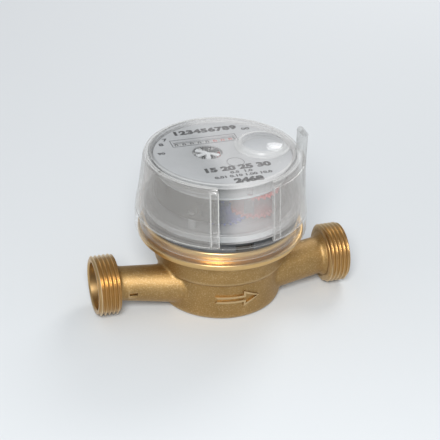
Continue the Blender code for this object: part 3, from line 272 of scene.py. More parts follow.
remesh.voxel_size = cast_voxel
settle(casting)
skin = bmesh.new()
skin.from_mesh(casting.data)
for softening in range(cast_softness):
    bmesh.ops.smooth_vert(skin, verts=skin.verts, factor=0.5,
                          use_axis_x=True, use_axis_y=True, use_axis_z=True)
skin.to_mesh(casting.data)
skin.free()
neck = rounded([(0, collar_z - collar_round, 0), (band_r - 0.5 * MM, collar_z - collar_round, 0),
                (band_r + 0.8 * MM, collar_z - 0.1 * MM, 0.4 * MM), (collar_r, collar_z, collar_round),
                (collar_r, collar_top, collar_round), (groove_r, collar_top, groove_round),
                (groove_r, groove_top, 0.2 * MM), (neck_r, groove_top, groove_round),
                (neck_r, neck_top, neck_round), (0, neck_top, 0)])
fused(casting, solid("neck", turned(neck, 160)), "UNION")
for inward, face_x in ((1, body_low.x), (-1, body_high.x)):
    fused(casting, thread_solid(face_x, inward), "UNION")


def arrow_outline(inset):
    """Flow arrow with a notched tail, pointing to the outlet, drawn in by inset."""
    half_shaft = arrow_half_shaft - inset
    half_head = arrow_half_head - inset * 1.6
    tail = -(arrow_shaft + arrow_head) / 2 + inset
    neck_x = tail + arrow_shaft
    tip = neck_x + arrow_head - inset * 2.2
    return [(tail + half_shaft, 0), (tail, half_shaft), (neck_x, half_shaft), (neck_x, half_head),
            (tip, 0), (neck_x, -half_head), (neck_x, -half_shaft), (tail, -half_shaft)]


def upright_prism(outline, front_y, back_y, z):
    """A prism that runs along Y, from an outline drawn in X and Z."""
    shape = bmesh.new()
    face = shape.faces.new([shape.verts.new((across, front_y, z + up)) for across, up in outline])
    grown = bmesh.ops.extrude_face_region(shape, geom=[face])["geom"]
    verts = [item for item in grown if isinstance(item, bmesh.types.BMVert)]
    bmesh.ops.translate(shape, verts=verts, vec=(0, back_y - front_y, 0))
    bmesh.ops.recalc_face_normals(shape, faces=shape.faces)
    return shape


arrow = solid("arrow", upright_prism(arrow_outline(0), -collar_r, 0, arrow_z))
arrow_inside = upright_prism(arrow_outline(arrow_line), -collar_r * 1.1, MM, arrow_z)
fused(arrow, solid("arrow_inside", arrow_inside), "DIFFERENCE")
skin_r = cup_r + arrow_raise
core_r = cup_r - MM
arrow_skin = turned([(0, 0), (skin_r, 0), (skin_r, band_z), (0, band_z)])
fused(arrow, solid("arrow_skin", arrow_skin), "INTERSECT")
arrow_core = turned([(0, -MM), (core_r, -MM), (core_r, band_z), (0, band_z)])
fused(arrow, solid("arrow_core", arrow_core), "DIFFERENCE")
fused(casting, arrow, "UNION")
fused(casting, solid("seal_slot", block(slot_low, slot_high)), "DIFFERENCE")
chamber = [(0, neck_top + MM), (ledge_r, neck_top + MM), (ledge_r, ledge_z), (chamber_r, ledge_z),
           (chamber_r, floor_z), (bearing_r, floor_z), (bearing_r, floor_z - bearing_seat),
           (0, floor_z - bearing_seat)]
fused(casting, solid("chamber", turned(chamber, 96)), "DIFFERENCE")
for inward, face_x in ((1, body_low.x), (-1, body_high.x)):
    bore_end = face_x + inward * port_bore_depth
    bore = [(0, face_x - inward * MM), (port_bore_r + port_chamfer, face_x - inward * MM),
            (port_bore_r, face_x + inward * port_chamfer_depth), (port_bore_r, bore_end), (0, bore_end)]
    fused(casting, solid("bore", on_pipe(turned(bore, 96))), "DIFFERENCE")
    start = (bore_end - inward * MM, pipe_y, pipe_z)
    mouth = (-inward * nozzle_at[0], nozzle_at[1], nozzle_at[2])
    fused(casting, solid("passage", leaning_cone(start, passage_r, mouth, nozzle_r)), "DIFFERENCE")


class Socket:
    """A shader value that Python's operators work on, each as one Math node."""

    def __init__(self, surface, output):
        self.surface = surface
        self.output = output

    def maths(self, operation, *values):
        return self.surface.maths(operation, *values)

    def __add__(self, other):
        return self.maths("ADD", self, other)

    def __radd__(self, other):
        return self.maths("ADD", other, self)

    def __sub__(self, other):
        return self.maths("SUBTRACT", self, other)

    def __rsub__(self, other):
        return self.maths("SUBTRACT", other, self)

    def __mul__(self, other):
        return self.maths("MULTIPLY", self, other)

    def __rmul__(self, other):
        return self.maths("MULTIPLY", other, self)

    def __pow__(self, other):
        return self.maths("POWER", self, other)

    def above(self, edge, blur):
        """0 below edge and 1 above it, over a soft step as wide as blur."""
        return self.surface.node("MapRange", {"interpolation_type": "SMOOTHSTEP"},
                                 {"Value": self, "From Min": edge - blur / 2, "From Max": edge + blur / 2})


class Surface:
    """One material's nodes, from its Object coordinates to its shader."""

    def __init__(self, name):
        self.material = bpy.data.materials.new(name)
        self.material.use_nodes = True
        self.tree = self.material.node_tree
        self.tree.nodes.clear()
        self.place = self.node("TexCoord", out="Object")

    def node(self, kind, settings=None, values=(), out=0):
        """Add a node: its settings first, then the values or links of its sockets."""
        made = self.tree.nodes.new("ShaderNode" + kind)
        for name, value in (settings or {}).items():
            setattr(made, name, value)
        pairs = values.items() if isinstance(values, dict) else enumerate(values)
        for key, value in pairs:
            if isinstance(value, Socket):
                self.tree.links.new(value.output, made.inputs[key])
            else:
                made.inputs[key].default_value = value
        return Socket(self, made.outputs[out]) if made.outputs else None

    def maths(self, operation, *values):
        return self.node("Math", {"operation": operation}, values)

    def noise(self, scale, detail=2.0, stretch=(1, 1, 1)):
        """Cloudy value about 0.5, its scale in waves to the metre."""
        place = self.node("Mapping", {}, {"Vector": self.place, "Scale": stretch})
        return self.node("TexNoise", {}, {"Vector": place, "Scale": scale, "Detail": detail})

    def blend(self, share, first, second):
        """Colour between two colours."""
        return self.node("Mix", {"data_type": "RGBA"}, {0: share, 6: first, 7: second}, out=2)

    def axes(self):
        """The three Object coordinates."""
        split = self.tree.nodes.new("ShaderNodeSeparateXYZ")
        self.tree.links.new(self.place.output, split.inputs[0])
        return [Socket(self, output) for output in split.outputs]

    def bump(self, height, strength, distance):
        return self.node("Bump", {}, {"Height": height, "Strength": strength, "Distance": distance})

    def shader(self, **inputs):
        """A Principled shader from its sockets' names, with _ for a space."""
        named = {name.replace("_", " "): value for name, value in inputs.items()}
        return self.node("BsdfPrincipled", {}, named)

    def done(self, shader):
        self.node("OutputMaterial", {}, {"Surface": shader})
        return self.material


def dress(piece, material, angle=35):
    """Give a piece its material and soft shading up to an edge angle."""
    piece.data.materials.clear()
    piece.data.materials.append(material)
    piece.data.shade_smooth()
    piece.data.set_sharp_from_angle(angle=math.radians(angle))


def brass():
    """Cast brass with a blasted grain, and bright turned metal at the threads, neck and bores."""
    made = Surface("cast_and_turned_brass")
    across, deep, up = made.axes()
    inlet_turned = 1 - across.above(body_low.x + thread_length - 0.1 * MM, 0.4 * MM)
    outlet_turned = across.above(body_high.x - thread_length + 0.1 * MM, 0.4 * MM)
    neck_turned = up.above(collar_z - 1.3 * MM, 0.5 * MM)
    machined = made.node("Clamp", {}, [inlet_turned + outlet_turned + neck_turned])
    blotch = made.noise(140, 3)
    grain = made.noise(1700, 3)
    speck = made.noise(5200, 1)
    # Convex edges of the casting turn paler: partly rubbed brass, partly a painted highlight where the
    # edges catch the light.
    edge = made.node("NewGeometry", out="Pointiness").above(0.515, 0.03)
    cast = made.blend(blotch, cast_dark, cast_pale)
    cast = made.blend(grain.above(0.6, 0.25) * 0.45, cast, grain_glint)
    cast = made.blend(edge * 0.5, cast, worn_and_lit_edge)
    reach = ((deep - pipe_y) ** 2.0 + (up - pipe_z) ** 2.0) ** 0.5
    # The crests of the threads are painted paler than their grooves: a painted highlight.
    crest = reach.above(thread_r - 0.4 * MM, 0.4 * MM) * (1 - neck_turned)
    bright = made.blend(neck_turned, turned_shade, neck_shade)
    bright = made.blend(crest * 0.9, bright, crest_highlight)
    bright = made.blend(made.noise(420, 2) * 0.3, bright, turned_stain)
    colour = made.blend(machined, cast, bright)
    roughness = (0.42 + grain * 0.2) * (1 - machined) + (0.3 + speck * 0.1) * machined
    rough = made.bump((grain * 0.7 + speck * 0.3) * (1 - machined), 1.0, 0.2 * MM)
    return made.done(made.shader(Base_Color=colour, Metallic=1.0, Roughness=roughness, Normal=rough,
                                 Coat_Weight=(1 - neck_turned) * 0.36, Coat_Roughness=0.42))


dress(casting, brass(), 40)
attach(casting, "flow_body")
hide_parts("meter_body")


# Strainer, turbine and chamber cover: a punched steel disc in the inlet, a moulded turbine
# on a steel pivot, and a turned brass plate that a slotted ring clamps on its rubber cord.
lathe_pitch = 0.18 * MM


def turned_metal(name, colour, roughness):
    """Metal with the fine rings that a lathe leaves."""
    made = Surface(name)
    across, deep, up = made.axes()
    ring = made.maths("SINE", (across * across + deep * deep) ** 0.5 * (2 * math.pi / lathe_pitch))
    cloud = made.noise(260, 3)
    darker = tuple(0.78 * part for part in colour)
    shade = made.blend(cloud, (*colour, 1), (*darker, 1))
    height = made.bump(ring * 0.4 + made.noise(1900, 2), 0.25, 0.03 * MM)
    return made.done(made.shader(Base_Color=shade, Metallic=1.0, Roughness=cloud * 0.2 + roughness,
                                 Normal=height))


shade_drift = 0.12


def moulded(name, colour, roughness=0.42):
    """Moulded plastic or rubber: slow drift of shade, fine grain and faint specks."""
    made = Surface(name)
    cloud = made.noise(180, 3)
    grain = made.noise(3200, 2)
    darker = tuple((1 - shade_drift * 1.5) * part for part in colour)
    lighter = tuple(min(1.0, (1 + shade_drift) * part) for part in colour)
    shade = made.blend(cloud, (*darker, 1), (*lighter, 1))
    shade = made.blend(grain.above(0.68, 0.1) * 0.25, shade, (*lighter, 1))
    height = made.bump(grain, 0.2, 0.04 * MM)
    return made.done(made.shader(Base_Color=shade, Roughness=grain * 0.12 + roughness, Normal=height))


finishes = {
    "turned_brass": turned_metal("turned_brass", (0.78, 0.52, 0.22), 0.25),
    "steel": turned_metal("stainless_steel", (0.60, 0.60, 0.58), 0.28),
    "magnet": moulded("sintered_magnet", (0.07, 0.07, 0.075), 0.5),
    "rubber": moulded("moulded_rubber", (0.035, 0.037, 0.04), 0.6),
    "pale_plastic": moulded("pale_plastic", (0.50, 0.52, 0.53)),
    "white_plastic": moulded("white_plastic", (0.66, 0.67, 0.67)),
    "dark_plastic": moulded("dark_plastic", (0.045, 0.055, 0.05)),
    "blue_plastic": moulded("blue_plastic", (0.02, 0.06, 0.55)),
    "red_plastic": moulded("red_plastic", (0.68, 0.04, 0.025)),
    "clear_plastic": moulded("frosted_plastic", (0.6, 0.62, 0.62)),
    "cast_brass": turned_metal("brass_blank", (0.6, 0.42, 0.2), 0.4),
}
for part in frame["record"]["subparts"]:
    cad_piece = frame["nodes"][part["node"]]
    cad_piece.data.materials.clear()
    cad_piece.data.materials.append(finishes[part["material_slot"]])


# Train plate: thin moulded plastic that carries the pivots of the wheels. It is smoke-grey
# at the left and paler at the right, and lets the wheels under it show faintly.
smoke_dark = (0.08, 0.09, 0.085, 1)
smoke_pale = (0.13, 0.14, 0.135, 1)
smoke_right = (0.42, 0.38, 0.37, 1)
smoke = Surface("smoke_plastic")
smoke_across = smoke.axes()[0]
smoke_cloud = smoke.noise(150, 3)
smoke_tone = smoke.blend(smoke_cloud, smoke_dark, smoke_pale)
smoke_tone = smoke.blend(smoke_across.above(2 * MM, 14 * MM), smoke_tone, smoke_right)
smoke_bump = smoke.bump(smoke.noise(2600, 2), 0.15, 0.05 * MM)
smoke_veil = smoke_cloud * 0.2 + 0.4 - smoke_across.above(-6 * MM, 8 * MM) * 0.3
smoke_look = smoke.done(smoke.shader(Base_Color=smoke_tone, Roughness=0.35, Alpha=smoke_veil,
                                     Normal=smoke_bump))
frame["nodes"]["train_plate"].data.materials.clear()
frame["nodes"]["train_plate"].data.materials.append(smoke_look)


# Gasket and register floor: a black rubber ring on the brass neck, notched at the front,
# and the pale moulded floor of the register that presses on it.
gasket_low, gasket_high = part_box("register_gasket")
gasket_r = gasket_high.x
gasket_bore_r = gasket_r - 5.0 * MM
gasket_round = 0.5 * MM
notch = 8.0 * MM
ring = rounded([(gasket_bore_r, gasket_high.z, 0.4 * MM), (gasket_r, gasket_high.z, gasket_round),
                (gasket_r, gasket_low.z, gasket_round), (gasket_bore_r, gasket_low.z, 0.4 * MM)])
gasket = solid("gasket_ring", turned(ring, 144))
notch_low = (-notch / 2, -collar_r, gasket_low.z - MM)
notch_high = (notch / 2, -gasket_bore_r - MM, gasket_high.z - MM)
fused(gasket, solid("notch", block(notch_low, notch_high)), "DIFFERENCE")
dress(gasket, finishes["rubber"])
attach(gasket, "register")
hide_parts("register_gasket")

base_low, base_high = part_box("register_base")
base_r = base_high.x
base_gap = 0.3 * MM
base_height = 1.8 * MM
base_z = gasket_high.z + base_gap
base_top = base_z + base_height
rim_top = base_top + 0.8 * MM
well_r = 8.3 * MM
well_wall = 1.2 * MM
well_floor = 0.6 * MM
base_nick = 0.1 * MM
rim_wall = 0.8 * MM
ridge_in = 3.0 * MM
ridge_out = 2.2 * MM
pillar_r = 1.8 * MM
pillar_hole_r = 1.1 * MM
pillar_hole_depth = 2.9 * MM
pillar_ring_r = 26.5 * MM
pillar_turns = (10.0, 100.0, 225.0)


def rod(radius, low, high, at=(0, 0), steps=48):
    """An upright rod with a small chamfer at each end."""
    nick = min(0.15 * MM, radius / 4)
    shape = turned([(0, high), (radius - nick, high), (radius, high - nick),
                    (radius, low + nick), (radius - nick, low), (0, low)], steps)
    bmesh.ops.translate(shape, verts=shape.verts, vec=(*at, 0))
    return shape


floor_profile = [(0, base_low.z + well_floor), (well_r - well_wall, base_low.z + well_floor),
                 (well_r - well_wall, base_top), (base_r - ridge_in, base_top),
                 (base_r - (ridge_in + ridge_out) / 2, base_top + 0.5 * MM),
                 (base_r - ridge_out, base_top),
                 (base_r - rim_wall, base_top), (base_r - rim_wall, rim_top),
                 (base_r - base_nick, rim_top), (base_r, rim_top - base_nick),
                 (base_r, base_z + base_nick), (base_r - base_nick, base_z),
                 (well_r, base_z), (well_r, base_low.z), (0, base_low.z)]
register_floor = solid("register_floor", turned(floor_profile, 144))
for turn in pillar_turns:
    spot = (pillar_ring_r * math.cos(math.radians(turn)), pillar_ring_r * math.sin(math.radians(turn)))
    pillar = rod(pillar_r, base_top - 0.5 * MM, base_high.z, spot, 32)
    fused(register_floor, solid("pillar", pillar), "UNION")
    pillar_hole = rod(pillar_hole_r, base_high.z - pillar_hole_depth, base_high.z + MM, spot, 24)
    fused(register_floor, solid("pillar_hole", pillar_hole), "DIFFERENCE")
dress(register_floor, finishes["pale_plastic"])
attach(register_floor, "register")
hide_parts("register_base")


# Number drums: eight moulded drums on a steel shaft, pad-printed with the digits 0 to 9,
# black for whole cubic metres and red for the parts of one.
drum_count = 8
black_drums = 5
drum_bore_r = 1.1 * MM
drum_hub_r = 2.2 * MM
drum_wall = 1.3 * MM
drum_web = 1.2 * MM
drum_round = 0.2 * MM
drum_sink = 0.02 * MM
digit_height = 3.9 * MM
digit_bold = 0.12 * MM
digit_width = 0.85
digit_bands = 7
band_height = 0.4 * MM
ink_depth = 0.03 * MM
ink = moulded("black_ink", (0.006, 0.006, 0.007))
red_ink = moulded("red_ink", (0.55, 0.06, 0.04))


def lettering(words, height, bold=0.0):
    """Words as thin closed plates of ink in X and Y, centred on the origin."""
    curve = bpy.data.curves.new("lettering", "FONT")
    curve.body = words
    curve.size = height
    curve.offset = bold
    curve.extrude = ink_depth / 2
    curve.resolution_u = 3
    curve.align_x = "CENTER"
    curve.align_y = "CENTER"
    guide = bpy.data.objects.new("lettering", curve)
    bpy.context.scene.collection.objects.link(guide)
    mesh = bpy.data.meshes.new_from_object(guide.evaluated_get(bpy.context.evaluated_depsgraph_get()))
    bpy.data.objects.remove(guide)
    shape = bmesh.new()
    shape.from_mesh(mesh)
    bmesh.ops.remove_doubles(shape, verts=shape.verts, dist=0.001 * MM)
    return shape


def gathered(name, shapes):
    """One object from several separate shapes."""
    whole = bmesh.new()
    for shape in shapes:
        mesh = bpy.data.meshes.new("part")
        shape.to_mesh(mesh)
        shape.free()
        whole.from_mesh(mesh)
    return solid(name, whole)


for number in range(1, drum_count + 1):
    body = "drum_" + str(number)
    drum_low, drum_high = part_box("number_" + body)
    middle = (drum_low + drum_high) / 2
    drum_r = (drum_high.z - drum_low.z) / 2
    half = (drum_high.x - drum_low.x) / 2
    inner_r = drum_r - drum_wall
    web_x = drum_web - half
    profile = rounded([(drum_bore_r, -half, 0), (drum_r - drum_sink, -half, drum_round),
                       (drum_r - drum_sink, half, drum_round), (inner_r, half, 0), (inner_r, web_x, 0),
                       (drum_hub_r, web_x, 0), (drum_hub_r, half, 0), (drum_bore_r, half, 0)])
    drum_shape = turned(profile, 80)
    bmesh.ops.rotate(drum_shape, verts=drum_shape.verts, cent=(0, 0, 0),
                     matrix=Matrix.Rotation(math.pi / 2, 3, "Y"))
    bmesh.ops.translate(drum_shape, verts=drum_shape.verts, vec=middle)
    drum = solid(body + "_wheel", drum_shape)
    dress(drum, finishes["white_plastic"])
    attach(drum, body)
    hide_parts("number_" + body)
    digits = []
    for digit in range(10):
        shape = lettering(str(digit), digit_height, digit_bold)
        for band in range(digit_bands):
            cut_y = (band - digit_bands // 2) * band_height
            bmesh.ops.bisect_plane(shape, geom=shape.verts[:] + shape.edges[:] + shape.faces[:],
                                   plane_co=(0, cut_y, 0), plane_no=(0, 1, 0))
        for vert in shape.verts:
            turn = vert.co.y / drum_r + digit * math.radians(36)
            reach = drum_r + vert.co.z
            around = Vector((vert.co.x * digit_width, reach * math.sin(turn), reach * math.cos(turn)))
            vert.co = middle + around
        digits.append(shape)
    print_ring = gathered(body + "_digits", digits)
    dress(print_ring, ink if number <= black_drums else red_ink)
    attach(print_ring, body)


# Dial and target: a printed plastic card over the works with a window for the drums and
# a round one for the star, and the toothed target disc that turns under the clear boss.
dial_low, dial_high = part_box("dial_plate")
dial_r = dial_high.x
window_low = (-18.0 * MM, 11.885 * MM)
window_high = (10.0 * MM, 16.485 * MM)
star_at = (-5.759 * MM, 3.325 * MM)
star_opening_r = 6.5 * MM
card_nick = 0.1 * MM
frame_line = 0.3 * MM
frame_margin = 0.9 * MM
row_height = 4.8 * MM
row_bold = 0.3 * MM
row_start = -14.4 * MM
row_step = 3.3 * MM
row_y = 23.2 * MM
small_ring_at = (3.2 * MM, -8.1 * MM)
small_ring_r = 3.8 * MM
small_ring_line = 0.25 * MM
print_z = dial_high.z + ink_depth / 2
card_grey = (0.46, 0.475, 0.485, 1)
card_pale = (0.58, 0.59, 0.60, 1)
card_profile = [(0, dial_high.z), (dial_r - card_nick, dial_high.z), (dial_r, dial_high.z - card_nick),
                (dial_r, dial_low.z), (0, dial_low.z)]
card = solid("dial_card", turned(card_profile, 144))
drum_window = block((*window_low, dial_low.z - MM), (*window_high, dial_high.z + MM))
fused(card, solid("drum_window", drum_window), "DIFFERENCE")
star_window = rod(star_opening_r, dial_low.z - MM, dial_high.z + MM, star_at, 72)
fused(card, solid("star_window", star_window), "DIFFERENCE")
card_look = Surface("printed_card")
card_shade = card_look.blend(card_look.noise(90, 3), card_grey, card_pale)
card_bump = card_look.bump(card_look.noise(1500, 3), 0.15, 0.05 * MM)
dress(card, card_look.done(card_look.shader(Base_Color=card_shade, Roughness=0.5, Normal=card_bump)))
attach(card, "register")
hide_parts("dial_plate")


def bar(low, high):
    """A flat bar of ink on the dial."""
    return block((*low, dial_high.z), (*high, dial_high.z + ink_depth))


print_stretch = 1.25


def printed(words, height, at, bold=0.0):
    """Widened lettering, laid on the dial."""
    shape = lettering(words, height, bold)
    bmesh.ops.scale(shape, verts=shape.verts, vec=(print_stretch, 1, 1))
    bmesh.ops.translate(shape, verts=shape.verts, vec=(*at, print_z))
    return shape


marks = []
for index in range(9):
    marks.append(printed(str(index + 1), row_height, (row_start + row_step * index, row_y), row_bold))
frame_low = (window_low[0] - frame_margin, window_low[1] - frame_margin)
frame_high = (window_high[0] + frame_margin, window_high[1] + frame_margin)
marks.append(bar(frame_low, (frame_high[0], frame_low[1] + frame_line)))
marks.append(bar((frame_low[0], frame_high[1] - frame_line), frame_high))
marks.append(bar(frame_low, (frame_low[0] + frame_line, frame_high[1])))
marks.append(bar((frame_high[0] - frame_line, frame_low[1]), frame_high))
for words, height, at_x, at_y, bold in (
        ("15 20 25 30", 4.9, 2.3, -13.0, 0.3), ("0.5  1.0", 2.6, 3.0, -16.7, 0.12),
        ("0.01 0.10 1.00 10.0", 2.6, 3.0, -19.8, 0.12), ("2468", 5.0, 4.0, -24.2, 0.34),
        ("00", 3.0, 17.0, 20.6, 0.1), ("7", 3.4, -20.6, 18.6, 0.1), ("8", 3.4, -23.2, 14.6, 0.1),
        ("90", 2.6, -25.2, 6.6, 0.1)):
    marks.append(printed(words, height * MM, (at_x * MM, at_y * MM), bold * MM))
small_ring_bore_r = small_ring_r - small_ring_line
small_ring = turned([(small_ring_bore_r, ink_depth), (small_ring_r, ink_depth), (small_ring_r, 0),
                     (small_ring_bore_r, 0)], 64)
bmesh.ops.translate(small_ring, verts=small_ring.verts, vec=(*small_ring_at, dial_high.z))
marks.append(small_ring)
dial_print = gathered("dial_print", marks)
dress(dial_print, ink)
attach(dial_print, "register")

target_low, target_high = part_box("target_spindle")
target_at = ((target_low.x + target_high.x) / 2, (target_low.y + target_high.y) / 2)
target_z = 65.1 * MM
target_top = target_z + 0.25 * MM
target_r = 8.0 * MM
target_pale = (0.86, 0.88, 0.90, 1)
target_ink = (0.14, 0.14, 0.14, 1)
disc = turned([(0, target_top), (target_r - 0.4 * MM, target_top), (target_r, target_z + 0.1 * MM),
               (target_r, target_z), (0, target_z)], 96)
bmesh.ops.translate(disc, verts=disc.verts, vec=(*target_at, 0))
target_face = solid("target_face", disc)
target_look = Surface("target_face")
target_x, target_y, _ = target_look.axes()
bearing = target_look.maths("ARCTAN2", target_y - target_at[1], target_x - target_at[0])
sector = target_look.maths("ABSOLUTE", bearing - 2.3)
reach = ((target_x - target_at[0]) ** 2.0 + (target_y - target_at[1]) ** 2.0) ** 0.5
dark = (1 - sector.above(0.7, 0.02)) * reach.above(2.0 * MM, 0.05 * MM)
ticks = target_look.maths("SINE", bearing * 20).above(0.6, 0.2) * reach.above(6.9 * MM, 0.05 * MM)
covered = target_look.node("Clamp", {}, [dark + ticks])
target_shade = target_look.blend(covered * 0.4, target_pale, target_ink)
target_bump = target_look.bump(target_look.noise(1500, 3), 0.1, 0.05 * MM)
target_shader = target_look.shader(Base_Color=target_shade, Roughness=0.4, Normal=target_bump)
dress(target_face, target_look.done(target_shader))
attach(target_face, "target")

star_pale = (0.85, 0.87, 0.88, 1)
star_dark = (0.05, 0.055, 0.055, 1)
star = frame["nodes"]["star_spindle"]
star_look = Surface("star_wheel")
star_x, star_y, _ = star_look.axes()
star_turn = star_look.maths("ARCTAN2", star_y - star_at[1], star_x - star_at[0])
dark_vanes = 1 - star_look.maths("ABSOLUTE", star_turn - 0.75).above(1.1, 0.02)
star_shade = star_look.blend(dark_vanes, star_pale, star_dark)
star_bump = star_look.bump(star_look.noise(1500, 3), 0.1, 0.05 * MM)
star_shader = star_look.shader(Base_Color=star_shade, Roughness=0.4, Normal=star_bump)
star.data.materials.clear()
star.data.materials.append(star_look.done(star_shader))


# Clear housing: a skirt that snaps over the brass collar, the capsule that seals the works,
# and the outer shell with its open front and the ear of a lid. All are moulded, faintly frosted.
skirt_low, skirt_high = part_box("base_skirt")
skirt_r = skirt_high.x
skirt_bore_r = skirt_r - 2.05 * MM
skirt_lip_r = 33.4 * MM
lip_height = 1.4 * MM
edge_round = 0.15 * MM
nub_turn = math.radians(-75)
nub_half = 1.2 * MM
capsule_low, capsule_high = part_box("register_capsule")
shell_low, shell_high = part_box("register_shroud")
capsule_r = 31.6 * MM
capsule_neck_r = 31.2 * MM
capsule_wall = 1.4 * MM
capsule_top = capsule_high.z - 2.0 * MM
under = capsule_top - capsule_wall
flange_bore_r = 33.6 * MM
flange_under = 45.8 * MM
flange_r = capsule_high.x
flange_top = 46.8 * MM
boss_r = 10.5 * MM
boss_base_r = 12.0 * MM
shell_top = capsule_top - 0.9 * MM
shell_z = shell_low.z
shell_half_window = 11.8 * MM
waist_r = 36.1 * MM
waist_z = 51.8 * MM
waist_wall = 1.6 * MM
shoulder_r = 34.2 * MM
shoulder_z = 67.0 * MM
foot_z = 44.4 * MM
rim_bore_r = 31.95 * MM
panel_top = 66.5 * MM
panel_foot = 46.0 * MM
rib_width = 3.6 * MM
rib_top = 67.2 * MM
rib_wall = 0.8 * MM
seam_r = skirt_r - 0.3 * MM


def clear_plastic(name, haze, colour, edge_haze, window_z=None, dull=None):
    """Clear plastic, faintly frosted, that veils what is behind it more where it is seen aslant."""
    made = Surface(name)
    across, deep, up = made.axes()
    aslant = made.node("LayerWeight", {}, {"Blend": 0.5}, out="Facing")
    veil = made.noise(60, 3, (1, 1, 0.4)) * 0.3 + 0.85
    amount = veil * haze + aslant ** 3.0 * edge_haze
    if window_z:
        reach = (across * across + deep * deep) ** 0.5
        lip = reach.above(dial_r + 0.1 * MM, 0.4 * MM)
        amount = amount * (1 - up.above(window_z, 0.6 * MM) * 0.95)
        amount = amount + up.above(window_z, 2 * MM) * lip * 0.3
    tone = made.blend(made.noise(110, 2), (*colour, 1), (*(0.88 * part for part in colour), 1))
    if dull:
        tone = made.blend(across.above(-6 * MM, 11 * MM), (*dull, 1), tone)
    height = made.bump(made.noise(1400, 2) * 0.4 + made.noise(240, 2), 0.12, 0.1 * MM)
    clouded = made.shader(Base_Color=tone, Roughness=0.22, Alpha=made.node("Clamp", {}, [amount]),
                          Normal=height)
    gloss = made.node("BsdfGlossy", {}, {"Color": (1, 1, 1, 1), "Roughness": 0.12, "Normal": height})
    return made.done(made.node("MixShader", {}, [aslant ** 5.0 * 0.5 + 0.035, clouded, gloss]))


def frosted_edge(name, haze, colour):
    """Paler, more opaque clear plastic for cut or moulded edges, where its pale colour is a painted
    highlight for the bright line that light draws along an edge.
    """
    made = Surface(name)
    cloud = made.noise(300, 2)
    tone = made.blend(cloud, (*colour, 1), (*(0.85 * part for part in colour), 1))
    height = made.bump(made.noise(1400, 2), 0.2, 0.05 * MM)
    return made.done(made.shader(Base_Color=tone, Roughness=0.25, Alpha=cloud * 0.2 + haze, Normal=height))


# Painted highlight: a pale, denser clear finish laid on the edges of the clear parts, for the bright lines
# that light draws along them.
edge_highlight_look = frosted_edge("clear_edge_highlight", 0.2, (0.80, 0.80, 0.78))


def edged(piece, chosen):
    """Give the chosen faces of a clear piece the painted edge highlight, a brighter and more opaque
    finish.
    """
    piece.data.materials.append(edge_highlight_look)
    for face in piece.data.polygons:
        if chosen(face):
            face.material_index = 1


def narrow(face):
    """Whether a face belongs to a small rounding on a turned edge."""
    return face.area < 0.25 * MM * MM


lip_top = skirt_low.z + lip_height
skirt_profile = rounded([(skirt_bore_r, skirt_high.z, 0), (seam_r, skirt_high.z, edge_round),
                         (skirt_r, skirt_high.z - 0.9 * MM, 0.4 * MM), (skirt_r, skirt_low.z, 0.5 * MM),
                         (skirt_lip_r, skirt_low.z, edge_round), (skirt_lip_r, lip_top, edge_round),
                         (skirt_bore_r, lip_top, 0.3 * MM)])
skirt = solid("clear_skirt", turned(skirt_profile, 160))
nub = block((skirt_r - 1.6 * MM, -nub_half, skirt_low.z),
            (skirt_r + 0.2 * MM, nub_half, skirt_low.z + nub_half), nub_turn)
fused(skirt, solid("nub", nub), "UNION")
dress(skirt, clear_plastic("clear_skirt", 0.02, (0.60, 0.56, 0.50), 0.25), 50)
edged(skirt, narrow)
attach(skirt, "register")
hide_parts("base_skirt")

inner_r = capsule_r - capsule_wall
capsule_profile = [(0, capsule_top)] + rounded(
    [(capsule_neck_r - 1.6 * MM, capsule_top, 0), (capsule_neck_r, capsule_top, 0.4 * MM),
     (capsule_r, shell_top - 0.9 * MM, 0.2 * MM), (capsule_r, flange_top, 0.6 * MM),
     (flange_r, flange_top, 0.5 * MM), (flange_r, capsule_low.z, 0.2 * MM),
     (flange_bore_r, capsule_low.z, 0), (flange_bore_r, flange_under, 0), (inner_r, flange_under, 0),
     (inner_r, under, 0.5 * MM)]) + [(0, under)]
capsule = solid("clear_capsule", turned(capsule_profile, 160))
boss_top = capsule_high.z
boss_foot = capsule_top - 0.5 * MM
boss = turned([(0, boss_top)] + rounded(
    [(boss_r - 1.5 * MM, boss_top, 0), (boss_r - 1.2 * MM, boss_top - 0.3 * MM, 0),
     (boss_r - 0.9 * MM, boss_top, 0), (boss_r, boss_top, 0.3 * MM),
     (boss_base_r - 0.9 * MM, capsule_top + 0.9 * MM, 0.2 * MM),
     (boss_base_r, capsule_top + 0.8 * MM, 0.2 * MM),
     (boss_base_r + 0.1 * MM, boss_foot, 0)]) + [(0, boss_foot)], 96)
bmesh.ops.translate(boss, verts=boss.verts, vec=(*target_at, 0))
fused(capsule, solid("boss", boss), "UNION")
boss_hollow = rod(boss_r - capsule_wall, under - MM, boss_top - capsule_wall, target_at, 72)
fused(capsule, solid("boss_hollow", boss_hollow), "DIFFERENCE")
capsule_look = clear_plastic("clear_capsule", 0.2, (0.88, 0.85, 0.83), 0.3, capsule_top - 1.0 * MM,
                             (0.225, 0.225, 0.215))
dress(capsule, capsule_look, 50)


def lens_edge(face):
    """The rings of the boss and the rounded lip of the window, which get the painted edge highlight."""
    from_target = (Vector((face.center.x, face.center.y)) - Vector(target_at)).length
    on_boss = face.center.z > capsule_top + 0.1 * MM and from_target > boss_r - 1.6 * MM
    return (on_boss and face.area < 0.6 * MM * MM) or (narrow(face) and face.center.z > flange_top - MM)


edged(capsule, lens_edge)
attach(capsule, "register")
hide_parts("register_capsule")

